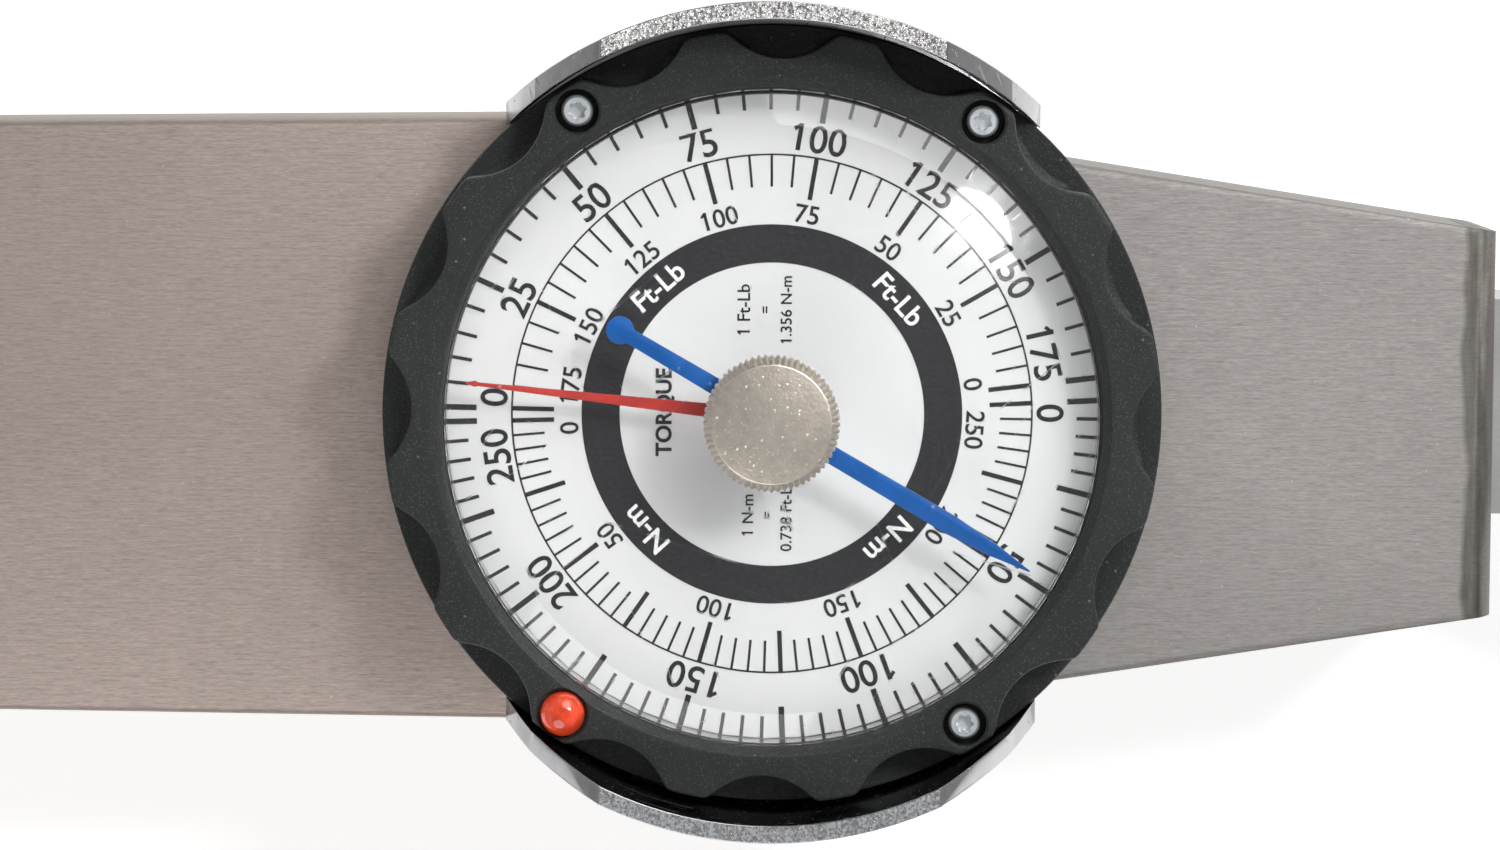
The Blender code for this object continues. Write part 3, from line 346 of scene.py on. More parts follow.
def brushed_case_material(settings):
    """Belt-brushed sheet steel, warmer at the handle end and greyer at the drive end, with painted light
    that makes it lighter towards −Y, and painted shade at the fold.
    """
    material, tree, shader, place = new_material("brushed_case", settings.warm_steel, 0.4, 1.0)
    brushing = place_group(tree, "Brushing", place, Coarse=0.45)
    scratches = place_group(tree, "Scratches", place, Amount=0.22)
    apart = add_node(tree, "ShaderNodeSeparateXYZ", {"Vector": place})
    toward_drive = ramp(tree, apart.outputs["X"], DIAL_AXIS.x - 20 * MM, DIAL_AXIS.x + 20 * MM)
    steel = mix_colour(tree, toward_drive, settings.warm_steel, settings.cool_steel)
    # Painted light: the colour runs from lighter at −Y to darker at +Y, for how the lamps fall across
    # the case.
    across = ramp(tree, apart.outputs["Y"], -34 * MM, 34 * MM, 1.10, 0.95)
    cloud = ramp(tree, brushing.outputs["Cloud"], 0.3, 0.7, 0.95, 1.04)
    shade = ramp(tree, brushing.outputs["Lines"], 0.25, 0.75, 0.62, 1.22)
    # shade joins the brushing lines, the painted light across the case and random clouds.
    shade = maths(tree, "MULTIPLY", maths(tree, "MULTIPLY", shade, across), cloud)
    grey = add_node(tree, "ShaderNodeCombineXYZ", {"X": shade, "Y": shade, "Z": shade})
    lined = mix_colour(tree, 1.0, steel, grey.outputs[0], "MULTIPLY")
    speckle = place_group(tree, "Speckle", place, Scale=2500.0, Share=0.006)
    dust = maths(tree, "MULTIPLY", speckle.outputs["Spots"], 0.45)
    marked = mix_colour(tree, dust, lined, (0.80, 0.78, 0.75))
    # The colour (0.145, 0.14, 0.12) is painted shade, laid on the fold band and below the top face.
    tint(tree, shader, fold_shade(tree, place, apart), marked, (0.145, 0.14, 0.12))
    rough = ramp(tree, brushing.outputs["Lines"], 0.2, 0.8, 0.70, 0.56)
    rough = maths(tree, "SUBTRACT", rough, maths(tree, "MULTIPLY", scratches.outputs[0], 0.12))
    tree.links.new(rough, shader.inputs["Roughness"])
    depth = maths(tree, "MULTIPLY", brushing.outputs["Lines"], ramp(tree, toward_drive, 0, 1, 0.55, 1.0))
    depth = maths(tree, "SUBTRACT", depth, maths(tree, "MULTIPLY", scratches.outputs[0], 0.5))
    bump(tree, shader, depth, 0.02 * MM, 0.45)
    return material


def chrome_material(settings):
    """Bright plating with a patchy haze and hairline scratches."""
    material, tree, shader, place = new_material("guard_chrome", settings.chrome, 0.1, 1.0)
    scratches = place_group(tree, "Scratches", place, Amount=1.0)
    haze = noise(tree, place, 60.0, 5.0, 0.6)
    rough = maths(tree, "ADD", ramp(tree, haze, 0.35, 0.7, 0.07, 0.17),
                  maths(tree, "MULTIPLY", scratches.outputs[0], 0.25))
    tree.links.new(rough, shader.inputs["Roughness"])
    tint(tree, shader, ramp(tree, haze, 0.4, 0.75), settings.chrome, (0.30, 0.30, 0.31))
    ripple = noise(tree, place, 190.0, 2.0, 0.5)
    bump(tree, shader, maths(tree, "SUBTRACT", ripple, scratches.outputs[0]), 0.04 * MM, 0.35)
    return material


def sheared_edge_material(settings):
    """Plated edge left rough by the shear: a crust of bright facets, drawn paler and smoother towards −Y
    as a painted sheen where the lower edge catches the light.
    """
    material, tree, shader, place = new_material("guard_edge", settings.chrome, 0.2, 1.0)
    cells = add_node(tree, "ShaderNodeTexVoronoi", {"Vector": place, "Scale": 4600.0})
    torn = noise(tree, place, 1.0, 3.0, 0.7, (5200.0, 5200.0, 900.0))
    tone = add_node(tree, "ShaderNodeSeparateColor", {"Color": cells.outputs["Color"]})
    facets = mix_colour(tree, ramp(tree, tone.outputs["Red"], 0.1, 0.9), (0.20, 0.19, 0.20),
                        (0.98, 0.97, 0.95))
    apart = add_node(tree, "ShaderNodeSeparateXYZ", {"Vector": place})
    # Painted sheen: towards −Y the crust gives way to a pale, even colour.
    painted_sheen_side = ramp(tree, apart.outputs["Y"], -10 * MM, 10 * MM, 0.82, 0.0)
    tint(tree, shader, painted_sheen_side, facets, (0.80, 0.82, 0.86))
    roughen(tree, shader, tone.outputs["Green"], 0, 1, 0.10, 0.42)
    height = maths(tree, "ADD", maths(tree, "MULTIPLY", cells.outputs["Distance"], 0.6), torn)
    height = maths(tree, "MULTIPLY", height, maths(tree, "SUBTRACT", 1.0, painted_sheen_side))
    bump(tree, shader, height, 0.14 * MM, 0.9)
    return material


def steel_material(name, colour, roughness, brush=0.5):
    """Machined or rolled steel with light tool lines and worn spots."""
    material, tree, shader, place = new_material(name, colour, roughness, 1.0)
    brushing = place_group(tree, "Brushing", place, Coarse=brush)
    worn = ramp(tree, brushing.outputs["Cloud"], 0.35, 0.7)
    dark = [channel * 0.72 for channel in colour]
    light = [min(1.0, channel * 1.12) for channel in colour]
    tint(tree, shader, worn, dark, light)
    rough = ramp(tree, brushing.outputs["Lines"], 0.2, 0.8, roughness + 0.08, roughness - 0.06)
    tree.links.new(rough, shader.inputs["Roughness"])
    bump(tree, shader, brushing.outputs["Lines"], 0.03 * MM, 0.5)
    return material


def zinc_material():
    """Clear zinc plating, slightly blue and grainy."""
    material, tree, shader, place = new_material("zinc_plate", (0.80, 0.84, 0.86), 0.3, 0.6)
    grain = noise(tree, place, 2500.0, 3.0, 0.6)
    cloud = noise(tree, place, 420.0, 3.0, 0.6)
    tint(tree, shader, ramp(tree, cloud, 0.35, 0.65), (0.66, 0.71, 0.74), (0.92, 0.95, 0.97))
    roughen(tree, shader, grain, 0.3, 0.7, 0.34, 0.52)
    bump(tree, shader, grain, 0.02 * MM, 0.6)
    return material


def plastic_material(colour):
    """Charcoal moulding with spark-eroded grain, painted glints as pale points on it, and a few pale
    specks of dust.
    """
    material, tree, shader, place = new_material("black_plastic", colour, 0.52)
    shader.inputs["Specular IOR Level"].default_value = 0.35
    speckle = place_group(tree, "Speckle", place, Scale=5200.0, Share=0.30)
    dust = place_group(tree, "Speckle", place, Scale=2200.0, Share=0.006)
    cloud = noise(tree, place, 45.0, 4.0, 0.6)
    base = mix_colour(tree, ramp(tree, cloud, 0.35, 0.7), colour, [channel * 1.45 for channel in colour])
    # Painted glints: pale points in the colour stand in for light caught by the grain.
    painted_glints = maths(tree, "MULTIPLY", speckle.outputs["Spots"], 0.42)
    spotted = mix_colour(tree, painted_glints, base, (0.22, 0.22, 0.21))
    dusty = mix_colour(tree, maths(tree, "MULTIPLY", dust.outputs["Spots"], 0.35), spotted,
                       (0.45, 0.45, 0.43))
    tree.links.new(dusty, shader.inputs["Base Color"])
    roughen(tree, shader, speckle.outputs["Grain"], 0.3, 0.7, 0.42, 0.62)
    bump(tree, shader, speckle.outputs["Grain"], 0.06 * MM, 0.8)
    return material


def printed_face_material(settings):
    """White printed sheet, very slightly uneven."""
    material, tree, shader, place = new_material("dial_white", settings.face_colour, 0.5)
    tone = noise(tree, place, 30.0, 3.0, 0.5)
    pale = [channel * 0.94 for channel in settings.face_colour]
    tint(tree, shader, ramp(tree, tone, 0.3, 0.7), settings.face_colour, pale)
    grain = noise(tree, place, 1800.0, 2.0, 0.5)
    roughen(tree, shader, grain, 0.3, 0.7, 0.42, 0.58)
    bump(tree, shader, grain, 0.01 * MM, 0.4)
    return material


def ink_material(name, colour):
    """Printing ink, a little thin in places."""
    material, tree, shader, place = new_material(name, colour, 0.45)
    shader.inputs["Specular IOR Level"].default_value = 0.2
    grain = noise(tree, place, 3000.0, 2.0, 0.5)
    thin = [min(1.0, channel * 1.6 + 0.01) for channel in colour]
    tint(tree, shader, ramp(tree, grain, 0.4, 0.75), colour, thin)
    roughen(tree, shader, grain, 0.3, 0.7, 0.36, 0.55)
    return material


def enamel_material(name, colour):
    """Sprayed enamel on sheet metal, a little uneven and with tiny chips."""
    material, tree, shader, place = new_material(name, colour, 0.35)
    shader.inputs["Specular IOR Level"].default_value = 0.25
    cloud = noise(tree, place, 400.0, 4.0, 0.6)
    deep = [channel * 0.78 for channel in colour]
    base = mix_colour(tree, ramp(tree, cloud, 0.35, 0.65), deep, colour)
    chips = place_group(tree, "Speckle", place, Scale=1500.0, Share=0.03)
    tint(tree, shader, maths(tree, "MULTIPLY", chips.outputs["Spots"], 0.4), base,
                              (0.5, 0.5, 0.5))
    roughen(tree, shader, cloud, 0.3, 0.7, 0.28, 0.45)
    bump(tree, shader, cloud, 0.03 * MM, 0.4)
    return material


def nickel_material(settings):
    """Bead-blasted nickel: grey-brown satin with many bright points, which are painted sparkle: pale,
    less metallic spots in the colour.
    """
    material, tree, shader, place = new_material("nickel", settings.nickel, 0.36, 1.0)
    bright = place_group(tree, "Speckle", place, Scale=3600.0, Share=0.20)
    fewer = place_group(tree, "Speckle", place, Scale=2300.0, Share=0.10)
    # Painted sparkle: the spots turn the colour pale and take away metal, standing in for glints of the
    # blasted surface.
    spots = maths(tree, "MAXIMUM", maths(tree, "MULTIPLY", bright.outputs["Spots"], 0.4),
                  fewer.outputs["Spots"])
    tree.links.new(maths(tree, "SUBTRACT", 1.0, maths(tree, "MULTIPLY", spots, 0.9)),
                   shader.inputs["Metallic"])
    cloud = noise(tree, place, 700.0, 4.0, 0.65)
    dark = [channel * 0.80 for channel in settings.nickel]
    base = mix_colour(tree, ramp(tree, cloud, 0.3, 0.7), dark, settings.nickel)
    tint(tree, shader, spots, base, (0.98, 0.93, 0.84))
    roughen(tree, shader, spots, 0, 1, 0.40, 0.24)
    bump(tree, shader, maths(tree, "ADD", bright.outputs["Grain"], spots), 0.04 * MM, 0.7)
    return material


def rubber_material(settings):
    """Moulded rubber, greyed where hands wear it."""
    material, tree, shader, place = new_material("grip_rubber", settings.rubber, 0.68)
    grain = noise(tree, place, 1400.0, 4.0, 0.65)
    wear = noise(tree, place, 38.0, 4.0, 0.6)
    greyed = [channel * 2.1 + 0.01 for channel in settings.rubber]
    tint(tree, shader, ramp(tree, wear, 0.45, 0.75), settings.rubber, greyed)
    roughen(tree, shader, wear, 0.35, 0.7, 0.76, 0.55)
    bump(tree, shader, grain, 0.12 * MM, 0.7)
    return material


def brass_material():
    """Cut brass with light tool lines and dull patches."""
    material, tree, shader, place = new_material("brass", (0.70, 0.52, 0.24), 0.32, 1.0)
    brushing = place_group(tree, "Brushing", place, Coarse=0.3)
    tint(tree, shader, ramp(tree, brushing.outputs["Cloud"], 0.3, 0.7), (0.50, 0.36, 0.15),
                              (0.74, 0.56, 0.28))
    roughen(tree, shader, brushing.outputs["Lines"], 0.2, 0.8, 0.42, 0.26)
    bump(tree, shader, brushing.outputs["Lines"], 0.02 * MM, 0.5)
    return material


def board_material():
    """Green circuit board with paler tracks."""
    material, tree, shader, place = new_material("board", (0.012, 0.11, 0.045), 0.4)
    tracks = add_node(tree, "ShaderNodeTexVoronoi", {"Vector": place, "Scale": 620.0},
                      feature="DISTANCE_TO_EDGE", distance="CHEBYCHEV")
    on_track = ramp(tree, tracks.outputs["Distance"], 0.10, 0.05)
    tint(tree, shader, on_track, (0.010, 0.10, 0.04), (0.03, 0.24, 0.10))
    roughen(tree, shader, on_track, 0, 1, 0.42, 0.28)
    bump(tree, shader, on_track, 0.03 * MM, 0.6)
    return material


def clear_lens_material():
    """Clear acrylic. Rays from lamps pass it, so that the face behind it stays lit."""
    material, tree, shader, place = new_material("clear_lens", (0.97, 0.98, 0.98), 0.02)
    shader.inputs["Transmission Weight"].default_value = 1.0
    shader.inputs["IOR"].default_value = 1.4
    scratches = place_group(tree, "Scratches", place, Amount=1.0)
    rough = maths(tree, "ADD", maths(tree, "MULTIPLY", scratches.outputs[0], 0.12), 0.05)
    tree.links.new(rough, shader.inputs["Roughness"])
    bump(tree, shader, scratches.outputs[0], 0.004 * MM, 0.5)
    through = tree.nodes.new("ShaderNodeBsdfTransparent")
    path = tree.nodes.new("ShaderNodeLightPath")
    both = tree.nodes.new("ShaderNodeMixShader")
    tree.links.new(path.outputs["Is Shadow Ray"], both.inputs[0])
    tree.links.new(shader.outputs[0], both.inputs[1])
    tree.links.new(through.outputs[0], both.inputs[2])
    tree.links.new(both.outputs[0], tree.nodes["Material Output"].inputs["Surface"])
    return material


def lamp_material(settings):
    """Tinted clear lens of the signal lamp, with a faint painted glow: its colour also feeds the
    emission, though no lamp sits inside it.
    """
    material, tree, shader, place = new_material("red_lens", settings.lamp, 0.08)
    shader.inputs["Coat Weight"].default_value = 1.0
    shader.inputs["Coat Roughness"].default_value = 0.03
    shader.inputs["Subsurface Weight"].default_value = 0.35
    shader.inputs["Subsurface Scale"].default_value = MM
    swirl = noise(tree, place, 500.0, 3.0, 0.6)
    deep = [channel * 0.55 for channel in settings.lamp]
    tint_and_painted_glow = mix_colour(tree, ramp(tree, swirl, 0.35, 0.65), deep, settings.lamp)
    tree.links.new(tint_and_painted_glow, shader.inputs["Base Color"])
    tree.links.new(tint_and_painted_glow, shader.inputs["Emission Color"])
    # Painted glow: a faint emission, though nothing inside the dome gives light.
    shader.inputs["Emission Strength"].default_value = 0.24
    roughen(tree, shader, swirl, 0.3, 0.7, 0.05, 0.14)
    return material


def build_materials(scene):
    GROUPS["Brushing"] = build_brushing_group()
    GROUPS["Speckle"] = build_speckle_group()
    GROUPS["Scratches"] = build_scratch_group()
    dial, rim, body = scene.wrench_dial, scene.wrench_bezel, scene.wrench_body
    MATERIALS.update({
        "case_steel": brushed_case_material(body),
        "guard_chrome": chrome_material(body),
        "guard_edge": sheared_edge_material(body),
        "forged_steel": steel_material("forged_steel", (0.68, 0.68, 0.67), 0.42),
        "spring_steel": steel_material("spring_steel", (0.26, 0.27, 0.30), 0.34, 0.3),
        "zinc_plate": zinc_material(),
        "brass": brass_material(),
        "nickel": nickel_material(rim),
        "black_plastic": plastic_material(list(rim.plastic)),
        "dial_white": printed_face_material(dial),
        "ink": ink_material("ink", list(dial.ink_colour)),
        "white_ink": ink_material("white_ink", [0.78, 0.78, 0.76]),
        "clear_lens": clear_lens_material(),
        "red_paint": enamel_material("red_paint", list(dial.red)),
        "blue_paint": enamel_material("blue_paint", list(dial.blue)),
        "red_lens": lamp_material(rim),
        "grip_rubber": rubber_material(body),
        "board": board_material(),
    })


# ---------------------------------------------------------------- mesh helpers


def add_piece(name, bm, material, body, replaces=(), angle=35.0):
    """Turns a bmesh into a piece that rides on a body, smooth except at sharp edges."""
    mesh = bpy.data.meshes.new(name)
    bm.to_mesh(mesh)
    bm.free()
    mesh.shade_smooth()
    mesh.set_sharp_from_angle(angle=math.radians(angle))
    names = [material] if isinstance(material, str) else material
    for each in names:
        mesh.materials.append(MATERIALS[each])
    obj = bpy.data.objects.new(name, mesh)
    bpy.context.scene.collection.objects.link(obj)
    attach(obj, body)
    if replaces:
        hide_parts(*replaces)
    return obj


def clean(bm):
    bmesh.ops.remove_doubles(bm, verts=bm.verts, dist=MERGE)
    bmesh.ops.recalc_face_normals(bm, faces=bm.faces)


def turned_bmesh(profile, steps, centre=(0.0, 0.0), closed=False, bm=None):
    """Spins a profile of (radius, height) points once round an upright axis."""
    bm = bm or bmesh.new()
    verts = [bm.verts.new((centre[0] + r, centre[1], z)) for r, z in profile]
    edges = [bm.edges.new(pair) for pair in zip(verts, verts[1:])]
    if closed:
        edges.append(bm.edges.new((verts[-1], verts[0])))
    bmesh.ops.spin(bm, geom=verts + edges, cent=(centre[0], centre[1], 0.0), axis=(0, 0, 1),
                   dvec=(0, 0, 0), angle=2 * math.pi, steps=steps, use_merge=True,
                   use_duplicate=False)
    clean(bm)
    return bm


def fillet(cx, cz, radius, start, end, steps=5):
    """Points of a rounded corner in a profile, with angles in degrees."""
    return [(cx + radius * math.cos(math.radians(start + (end - start) * i / steps)),
             cz + radius * math.sin(math.radians(start + (end - start) * i / steps)))
            for i in range(steps + 1)]


def lay_along_x(bm, height):
    """Turns a shape made round Z so that it lies round X, at a height."""
    turn = Matrix.Translation((0.0, 0.0, height)) @ Matrix.Rotation(math.radians(90), 4, "Y")
    bmesh.ops.transform(bm, matrix=turn, verts=bm.verts)


def flat_bmesh(outline, bottom, top, place=Matrix.Identity(4)):
    """A flat piece: one face from an outline, extruded up."""
    bm = bmesh.new()
    face = bm.faces.new([bm.verts.new((x, y, bottom)) for x, y in outline])
    raised = bmesh.ops.extrude_face_region(bm, geom=[face])
    verts = [item for item in raised["geom"] if isinstance(item, bmesh.types.BMVert)]
    bmesh.ops.translate(bm, verts=verts, vec=(0, 0, top - bottom))
    bmesh.ops.transform(bm, matrix=place, verts=bm.verts)
    clean(bm)
    return bm


def bevel_sharp(bm, width, segments, angle=30.0):
    edges = [e for e in bm.edges
             if len(e.link_faces) == 2 and e.calc_face_angle() > math.radians(angle)]
    bmesh.ops.bevel(bm, geom=edges, offset=width, segments=segments, profile=0.5, affect="EDGES",
                    clamp_overlap=True, material=-1)


def merged_copy(node):
    """A CAD node's mesh with its loose triangles joined and flat areas made whole."""
    bm = bmesh.new()
    bm.from_mesh(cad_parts[node].data)
    bmesh.ops.remove_doubles(bm, verts=bm.verts, dist=2e-6)
    bmesh.ops.dissolve_limit(bm, angle_limit=math.radians(0.6), verts=bm.verts, edges=bm.edges)
    return bm


def refine(node, body, material, width=0.0, segments=2, angle=35.0):
    """Redraws a CAD node with joined faces, smooth shading and, if asked, eased edges."""
    bm = merged_copy(node)
    piece = add_piece(node + "_finish", bm, material, body, (node,), angle)
    if width:
        ease = piece.modifiers.new("Ease", "BEVEL")
        ease.width = width
        ease.segments = segments
        ease.limit_method = "ANGLE"
        ease.angle_limit = math.radians(40)
    return piece


def cut(piece, cutters):
    """Cuts shapes out of a piece and keeps the result as its mesh."""
    for cutter in cutters:
        modifier = piece.modifiers.new("Cut", "BOOLEAN")
        modifier.operation = "DIFFERENCE"
        modifier.solver = "EXACT"
        modifier.object = cutter
    bpy.context.view_layer.update()
    evaluated = piece.evaluated_get(bpy.context.evaluated_depsgraph_get())
    result = bpy.data.meshes.new_from_object(evaluated)
    piece.modifiers.clear()
    piece.data = result
    for cutter in cutters:
        bpy.data.objects.remove(cutter, do_unlink=True)
    result.shade_smooth()
    result.set_sharp_from_angle(angle=math.radians(35))


def cutter_from(bm):
    mesh = bpy.data.meshes.new("cutter")
    bm.to_mesh(mesh)
    bm.free()
    obj = bpy.data.objects.new("cutter", mesh)
    bpy.context.scene.collection.objects.link(obj)
    return obj


def polar(radius, degrees):
    angle = math.radians(degrees)
    return Vector((radius * math.cos(angle), radius * math.sin(angle), 0.0))


# ---------------------------------------------------------------- dial face


def pointer_turn(foot_pounds):
    """Turn of the pointer, in degrees from zero, for a torque. It starts a little slower."""
    slow_end, slow_rate = 15.0, 0.893
    if foot_pounds <= slow_end:
        return slow_rate * foot_pounds
    rest = foot_pounds - slow_end
    return slow_rate * slow_end + 1.0092 * rest - 0.0001083 * rest * rest


NEWTON_METRES_PER_FOOT_POUND = 1.35582
PRINT_HEIGHT = 0.03 * MM
PRINT_WEIGHT = 0.012      # how much the font's strokes are thickened, as a share of its size
TICK_STEP = 5
LONG_TICK_STEP = 25


def foot_pound_scale(zero, direction, aside):
    """Scale from 0 to 175 ft-lb. aside is how far its first and last numbers move, in degrees."""
    return {"zero": zero, "direction": direction, "limit": 175, "number_step": 25,
            "per_foot_pound": 1.0, "aside": aside}


def newton_metre_scale(zero, direction, aside):
    """Scale from 0 to 250 N-m."""
    return {"zero": zero, "direction": direction, "limit": 250, "number_step": 50,
            "per_foot_pound": NEWTON_METRES_PER_FOOT_POUND, "aside": aside}


def add_tick(bm, degrees, inner, outer, width):
    """One printed line along a radius, as a very thin block."""
    size = Matrix.Diagonal((outer - inner, width, PRINT_HEIGHT, 1.0))
    along = Matrix.Translation(((inner + outer) / 2, 0.0, FACE_Z + PRINT_HEIGHT))
    turn = Matrix.Rotation(math.radians(degrees), 4, "Z")
    bmesh.ops.create_cube(bm, size=1.0, matrix=Matrix.Translation(DIAL_AXIS) @ turn @ along @ size)


def add_scale(bm, scale, minor, major):
    """Ticks every 5 units, with a long one every 25. minor and major are (inner, outer, width)."""
    for value in range(0, scale["limit"] + 1, TICK_STEP):
        turn = scale["direction"] * pointer_turn(value / scale["per_foot_pound"])
        inner, outer, width = major if value % LONG_TICK_STEP == 0 else minor
        add_tick(bm, scale["zero"] + turn, inner, outer, width)


def glyphs(bm):
    """The separate outlines of some lettering, each as a set of vertices."""
    left = set(bm.verts)
    while left:
        glyph, edge_of_glyph = set(), [left.pop()]
        while edge_of_glyph:
            vert = edge_of_glyph.pop()
            glyph.add(vert)
            near = {edge.other_vert(vert) for edge in vert.link_edges} & left
            left -= near
            edge_of_glyph.extend(near)
        yield glyph


def add_flags(bm, lean=40.0, flag_length=0.30, flag_width=0.8):
    """The font draws a 1 as a plain upright bar. This gives each bar its slanted flag."""
    turn = Matrix.Rotation(math.radians(lean), 4, "Z")
    for glyph in list(glyphs(bm)):
        low = Vector([min(vert.co[i] for vert in glyph) for i in range(3)])
        high = Vector([max(vert.co[i] for vert in glyph) for i in range(3)])
        size = high - low
        if size.x > 0.3 * size.y:
            continue
        length, width = flag_length * size.y, flag_width * size.x
        tip = Vector(((low.x + high.x) / 2, high.y - width / 2 * math.cos(math.radians(lean)),
                      (low.z + high.z) / 2))
        middle_of_flag = tip - turn @ Vector((length / 2, 0, 0))
        shape = Matrix.Diagonal((length, width, size.z * 0.98, 1))
        bmesh.ops.create_cube(bm, size=1, matrix=Matrix.Translation(middle_of_flag) @ turn @ shape)


def text_bmesh(words, height, thicken=0.0):
    """Flat lettering centred on the origin, as tall as asked, made from the built-in font."""
    curve = bpy.data.curves.new("lettering", "FONT")
    curve.body = words
    curve.align_x = "CENTER"
    curve.resolution_u = 6
    curve.offset = thicken
    curve.extrude = 0.02
    draft = bpy.data.objects.new("lettering", curve)
    bpy.context.scene.collection.objects.link(draft)
    bpy.context.view_layer.update()
    evaluated = draft.evaluated_get(bpy.context.evaluated_depsgraph_get())
    mesh = bpy.data.meshes.new_from_object(evaluated)
    bpy.data.objects.remove(draft, do_unlink=True)
    bm = bmesh.new()
    bm.from_mesh(mesh)
    bpy.data.meshes.remove(mesh)
    bmesh.ops.remove_doubles(bm, verts=bm.verts, dist=1e-5)
    add_flags(bm)
    tall = max(v.co.y for v in bm.verts) - min(v.co.y for v in bm.verts)
    centre = Vector([(max(v.co[i] for v in bm.verts) + min(v.co[i] for v in bm.verts)) / 2
                     for i in range(3)])
    bmesh.ops.translate(bm, verts=bm.verts, vec=-centre)
    scale = height / tall
    bmesh.ops.scale(bm, verts=bm.verts, vec=(scale, scale, PRINT_HEIGHT / 0.04))
    return bm


def add_text(target, words, height, radius, degrees, level=0.0, thicken=0.0, upright=None):
    """Lettering with its tops outward at an angle, or turned by a set amount about its middle."""
    bm = text_bmesh(words, height, thicken)
    turn = math.radians(degrees - 90 if upright is None else upright)
    spot = DIAL_AXIS + polar(radius, degrees) + Vector((0, 0, FACE_Z + PRINT_HEIGHT + level))
    bmesh.ops.transform(bm, matrix=Matrix.Translation(spot) @ Matrix.Rotation(turn, 4, "Z"),
                        verts=bm.verts)
    mesh = bpy.data.meshes.new("lettering")
    bm.to_mesh(mesh)
    bm.free()
    target.from_mesh(mesh)
    bpy.data.meshes.remove(mesh)


def add_numbers(bm, scale, radius, height):
    """Numbers round one scale. The first and last step aside, where two scales meet."""
    first, last = scale["aside"]
    for value in range(0, scale["limit"] + 1, scale["number_step"]):
        turn = pointer_turn(value / scale["per_foot_pound"])
        if value == 0:
            turn += first
        if value == scale["limit"]:
            turn -= last
        add_text(bm, str(value), height, radius, scale["zero"] + scale["direction"] * turn,
                 thicken=PRINT_WEIGHT)


class WRENCH_OT_dial_face(bpy.types.Operator):
    """White face with its printed scales, numbers, ring and circle"""

    bl_idname = "wrench.dial_face"
    bl_label = "Dial Face"

    def execute(self, context):
        settings = context.scene.wrench_dial
        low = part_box("dial_face")[0].z
        edge = 0.15 * MM
        profile = [(3.0 * MM, FACE_Z), (FACE_R - edge, FACE_Z), (FACE_R, FACE_Z - edge),
                   (FACE_R, low), (3.0 * MM, low)]
        bm = turned_bmesh(profile, 160, DIAL_AXIS.xy, closed=True)
        add_piece("dial_face_sheet", bm, "dial_white", "dial", ("dial_face",))
        self.print_scales(settings)
        self.print_ring(settings)
        return {"FINISHED"}

    def print_scales(self, settings):
        """The outer scales run clockwise and the inner ones the other way."""
        rim, circle = FACE_R - 0.2 * MM, settings.circle_r
        outer = (foot_pound_scale(settings.outer_zero_lb, -1, (2.2, 6.2)),
                 newton_metre_scale(settings.outer_zero_nm, -1, (2.2, 7.5)))
        inner = (foot_pound_scale(settings.inner_zero_lb, 1, (2.1, 6.9)),
                 newton_metre_scale(settings.inner_zero_nm, 1, (2.5, 6.9)))
        ticks, numbers = bmesh.new(), bmesh.new()
        for scale in outer:
            add_scale(ticks, scale, (33.05 * MM, rim, 0.38 * MM), (32.0 * MM, rim, 0.62 * MM))
            add_numbers(numbers, scale, 30.2 * MM, settings.outer_digits)
        for scale in inner:
            add_scale(ticks, scale, (24.75 * MM, circle, 0.27 * MM), (23.65 * MM, circle, 0.50 * MM))
            add_numbers(numbers, scale, 22.05 * MM, settings.inner_digits)
        add_piece("dial_ticks", ticks, "ink", "dial")
        add_piece("dial_numbers", numbers, "ink", "dial")

    def print_ring(self, settings):
        top, low = FACE_Z + 1.4 * PRINT_HEIGHT, FACE_Z + 0.4 * PRINT_HEIGHT
        for name, inner, outer in (("dial_ring", settings.ring_in, settings.ring_out),
                                   ("dial_circle", settings.circle_r - 0.1 * MM,
                                    settings.circle_r + 0.1 * MM)):
            profile = [(inner, top), (outer, top), (outer, low), (inner, low)]
            bm = turned_bmesh(profile, 160, DIAL_AXIS.xy, closed=True)
            add_piece(name, bm, "ink", "dial")
        bm = bmesh.new()
        radius = (settings.ring_in + settings.ring_out) / 2
        for words, degrees in (("Ft-Lb", 131.6), ("Ft-Lb", 42.5), ("N-m", 222.7), ("N-m", 313.1)):
            add_text(bm, words, 2.25 * MM, radius, degrees, level=1.5 * PRINT_HEIGHT, thicken=0.016)
        add_piece("dial_unit_names", bm, "white_ink", "dial")
        bm = bmesh.new()
        for words, x, y, height in (
                ("TORQUE", -11.6, 0.2, 2.1), ("1 Ft-Lb", -3.1, 11.4, 1.4), ("=", -0.8, 11.4, 0.5),
                ("1.356 N-m", 1.5, 11.4, 1.25), ("1 N-m", -2.6, -11.0, 1.25),
                ("=", -0.5, -11.0, 0.5), ("0.738 Ft-Lb", 1.6, -11.0, 1.25)):
            weight = 2.5 * PRINT_WEIGHT if words == "TORQUE" else PRINT_WEIGHT
            degrees = math.degrees(math.atan2(y, x))
            add_text(bm, words, height * MM, math.hypot(x, y) * MM, degrees, thicken=weight,
                     upright=90.0)
        add_piece("dial_small_print", bm, "ink", "dial")


# ---------------------------------------------------------------- bezel and what is in it


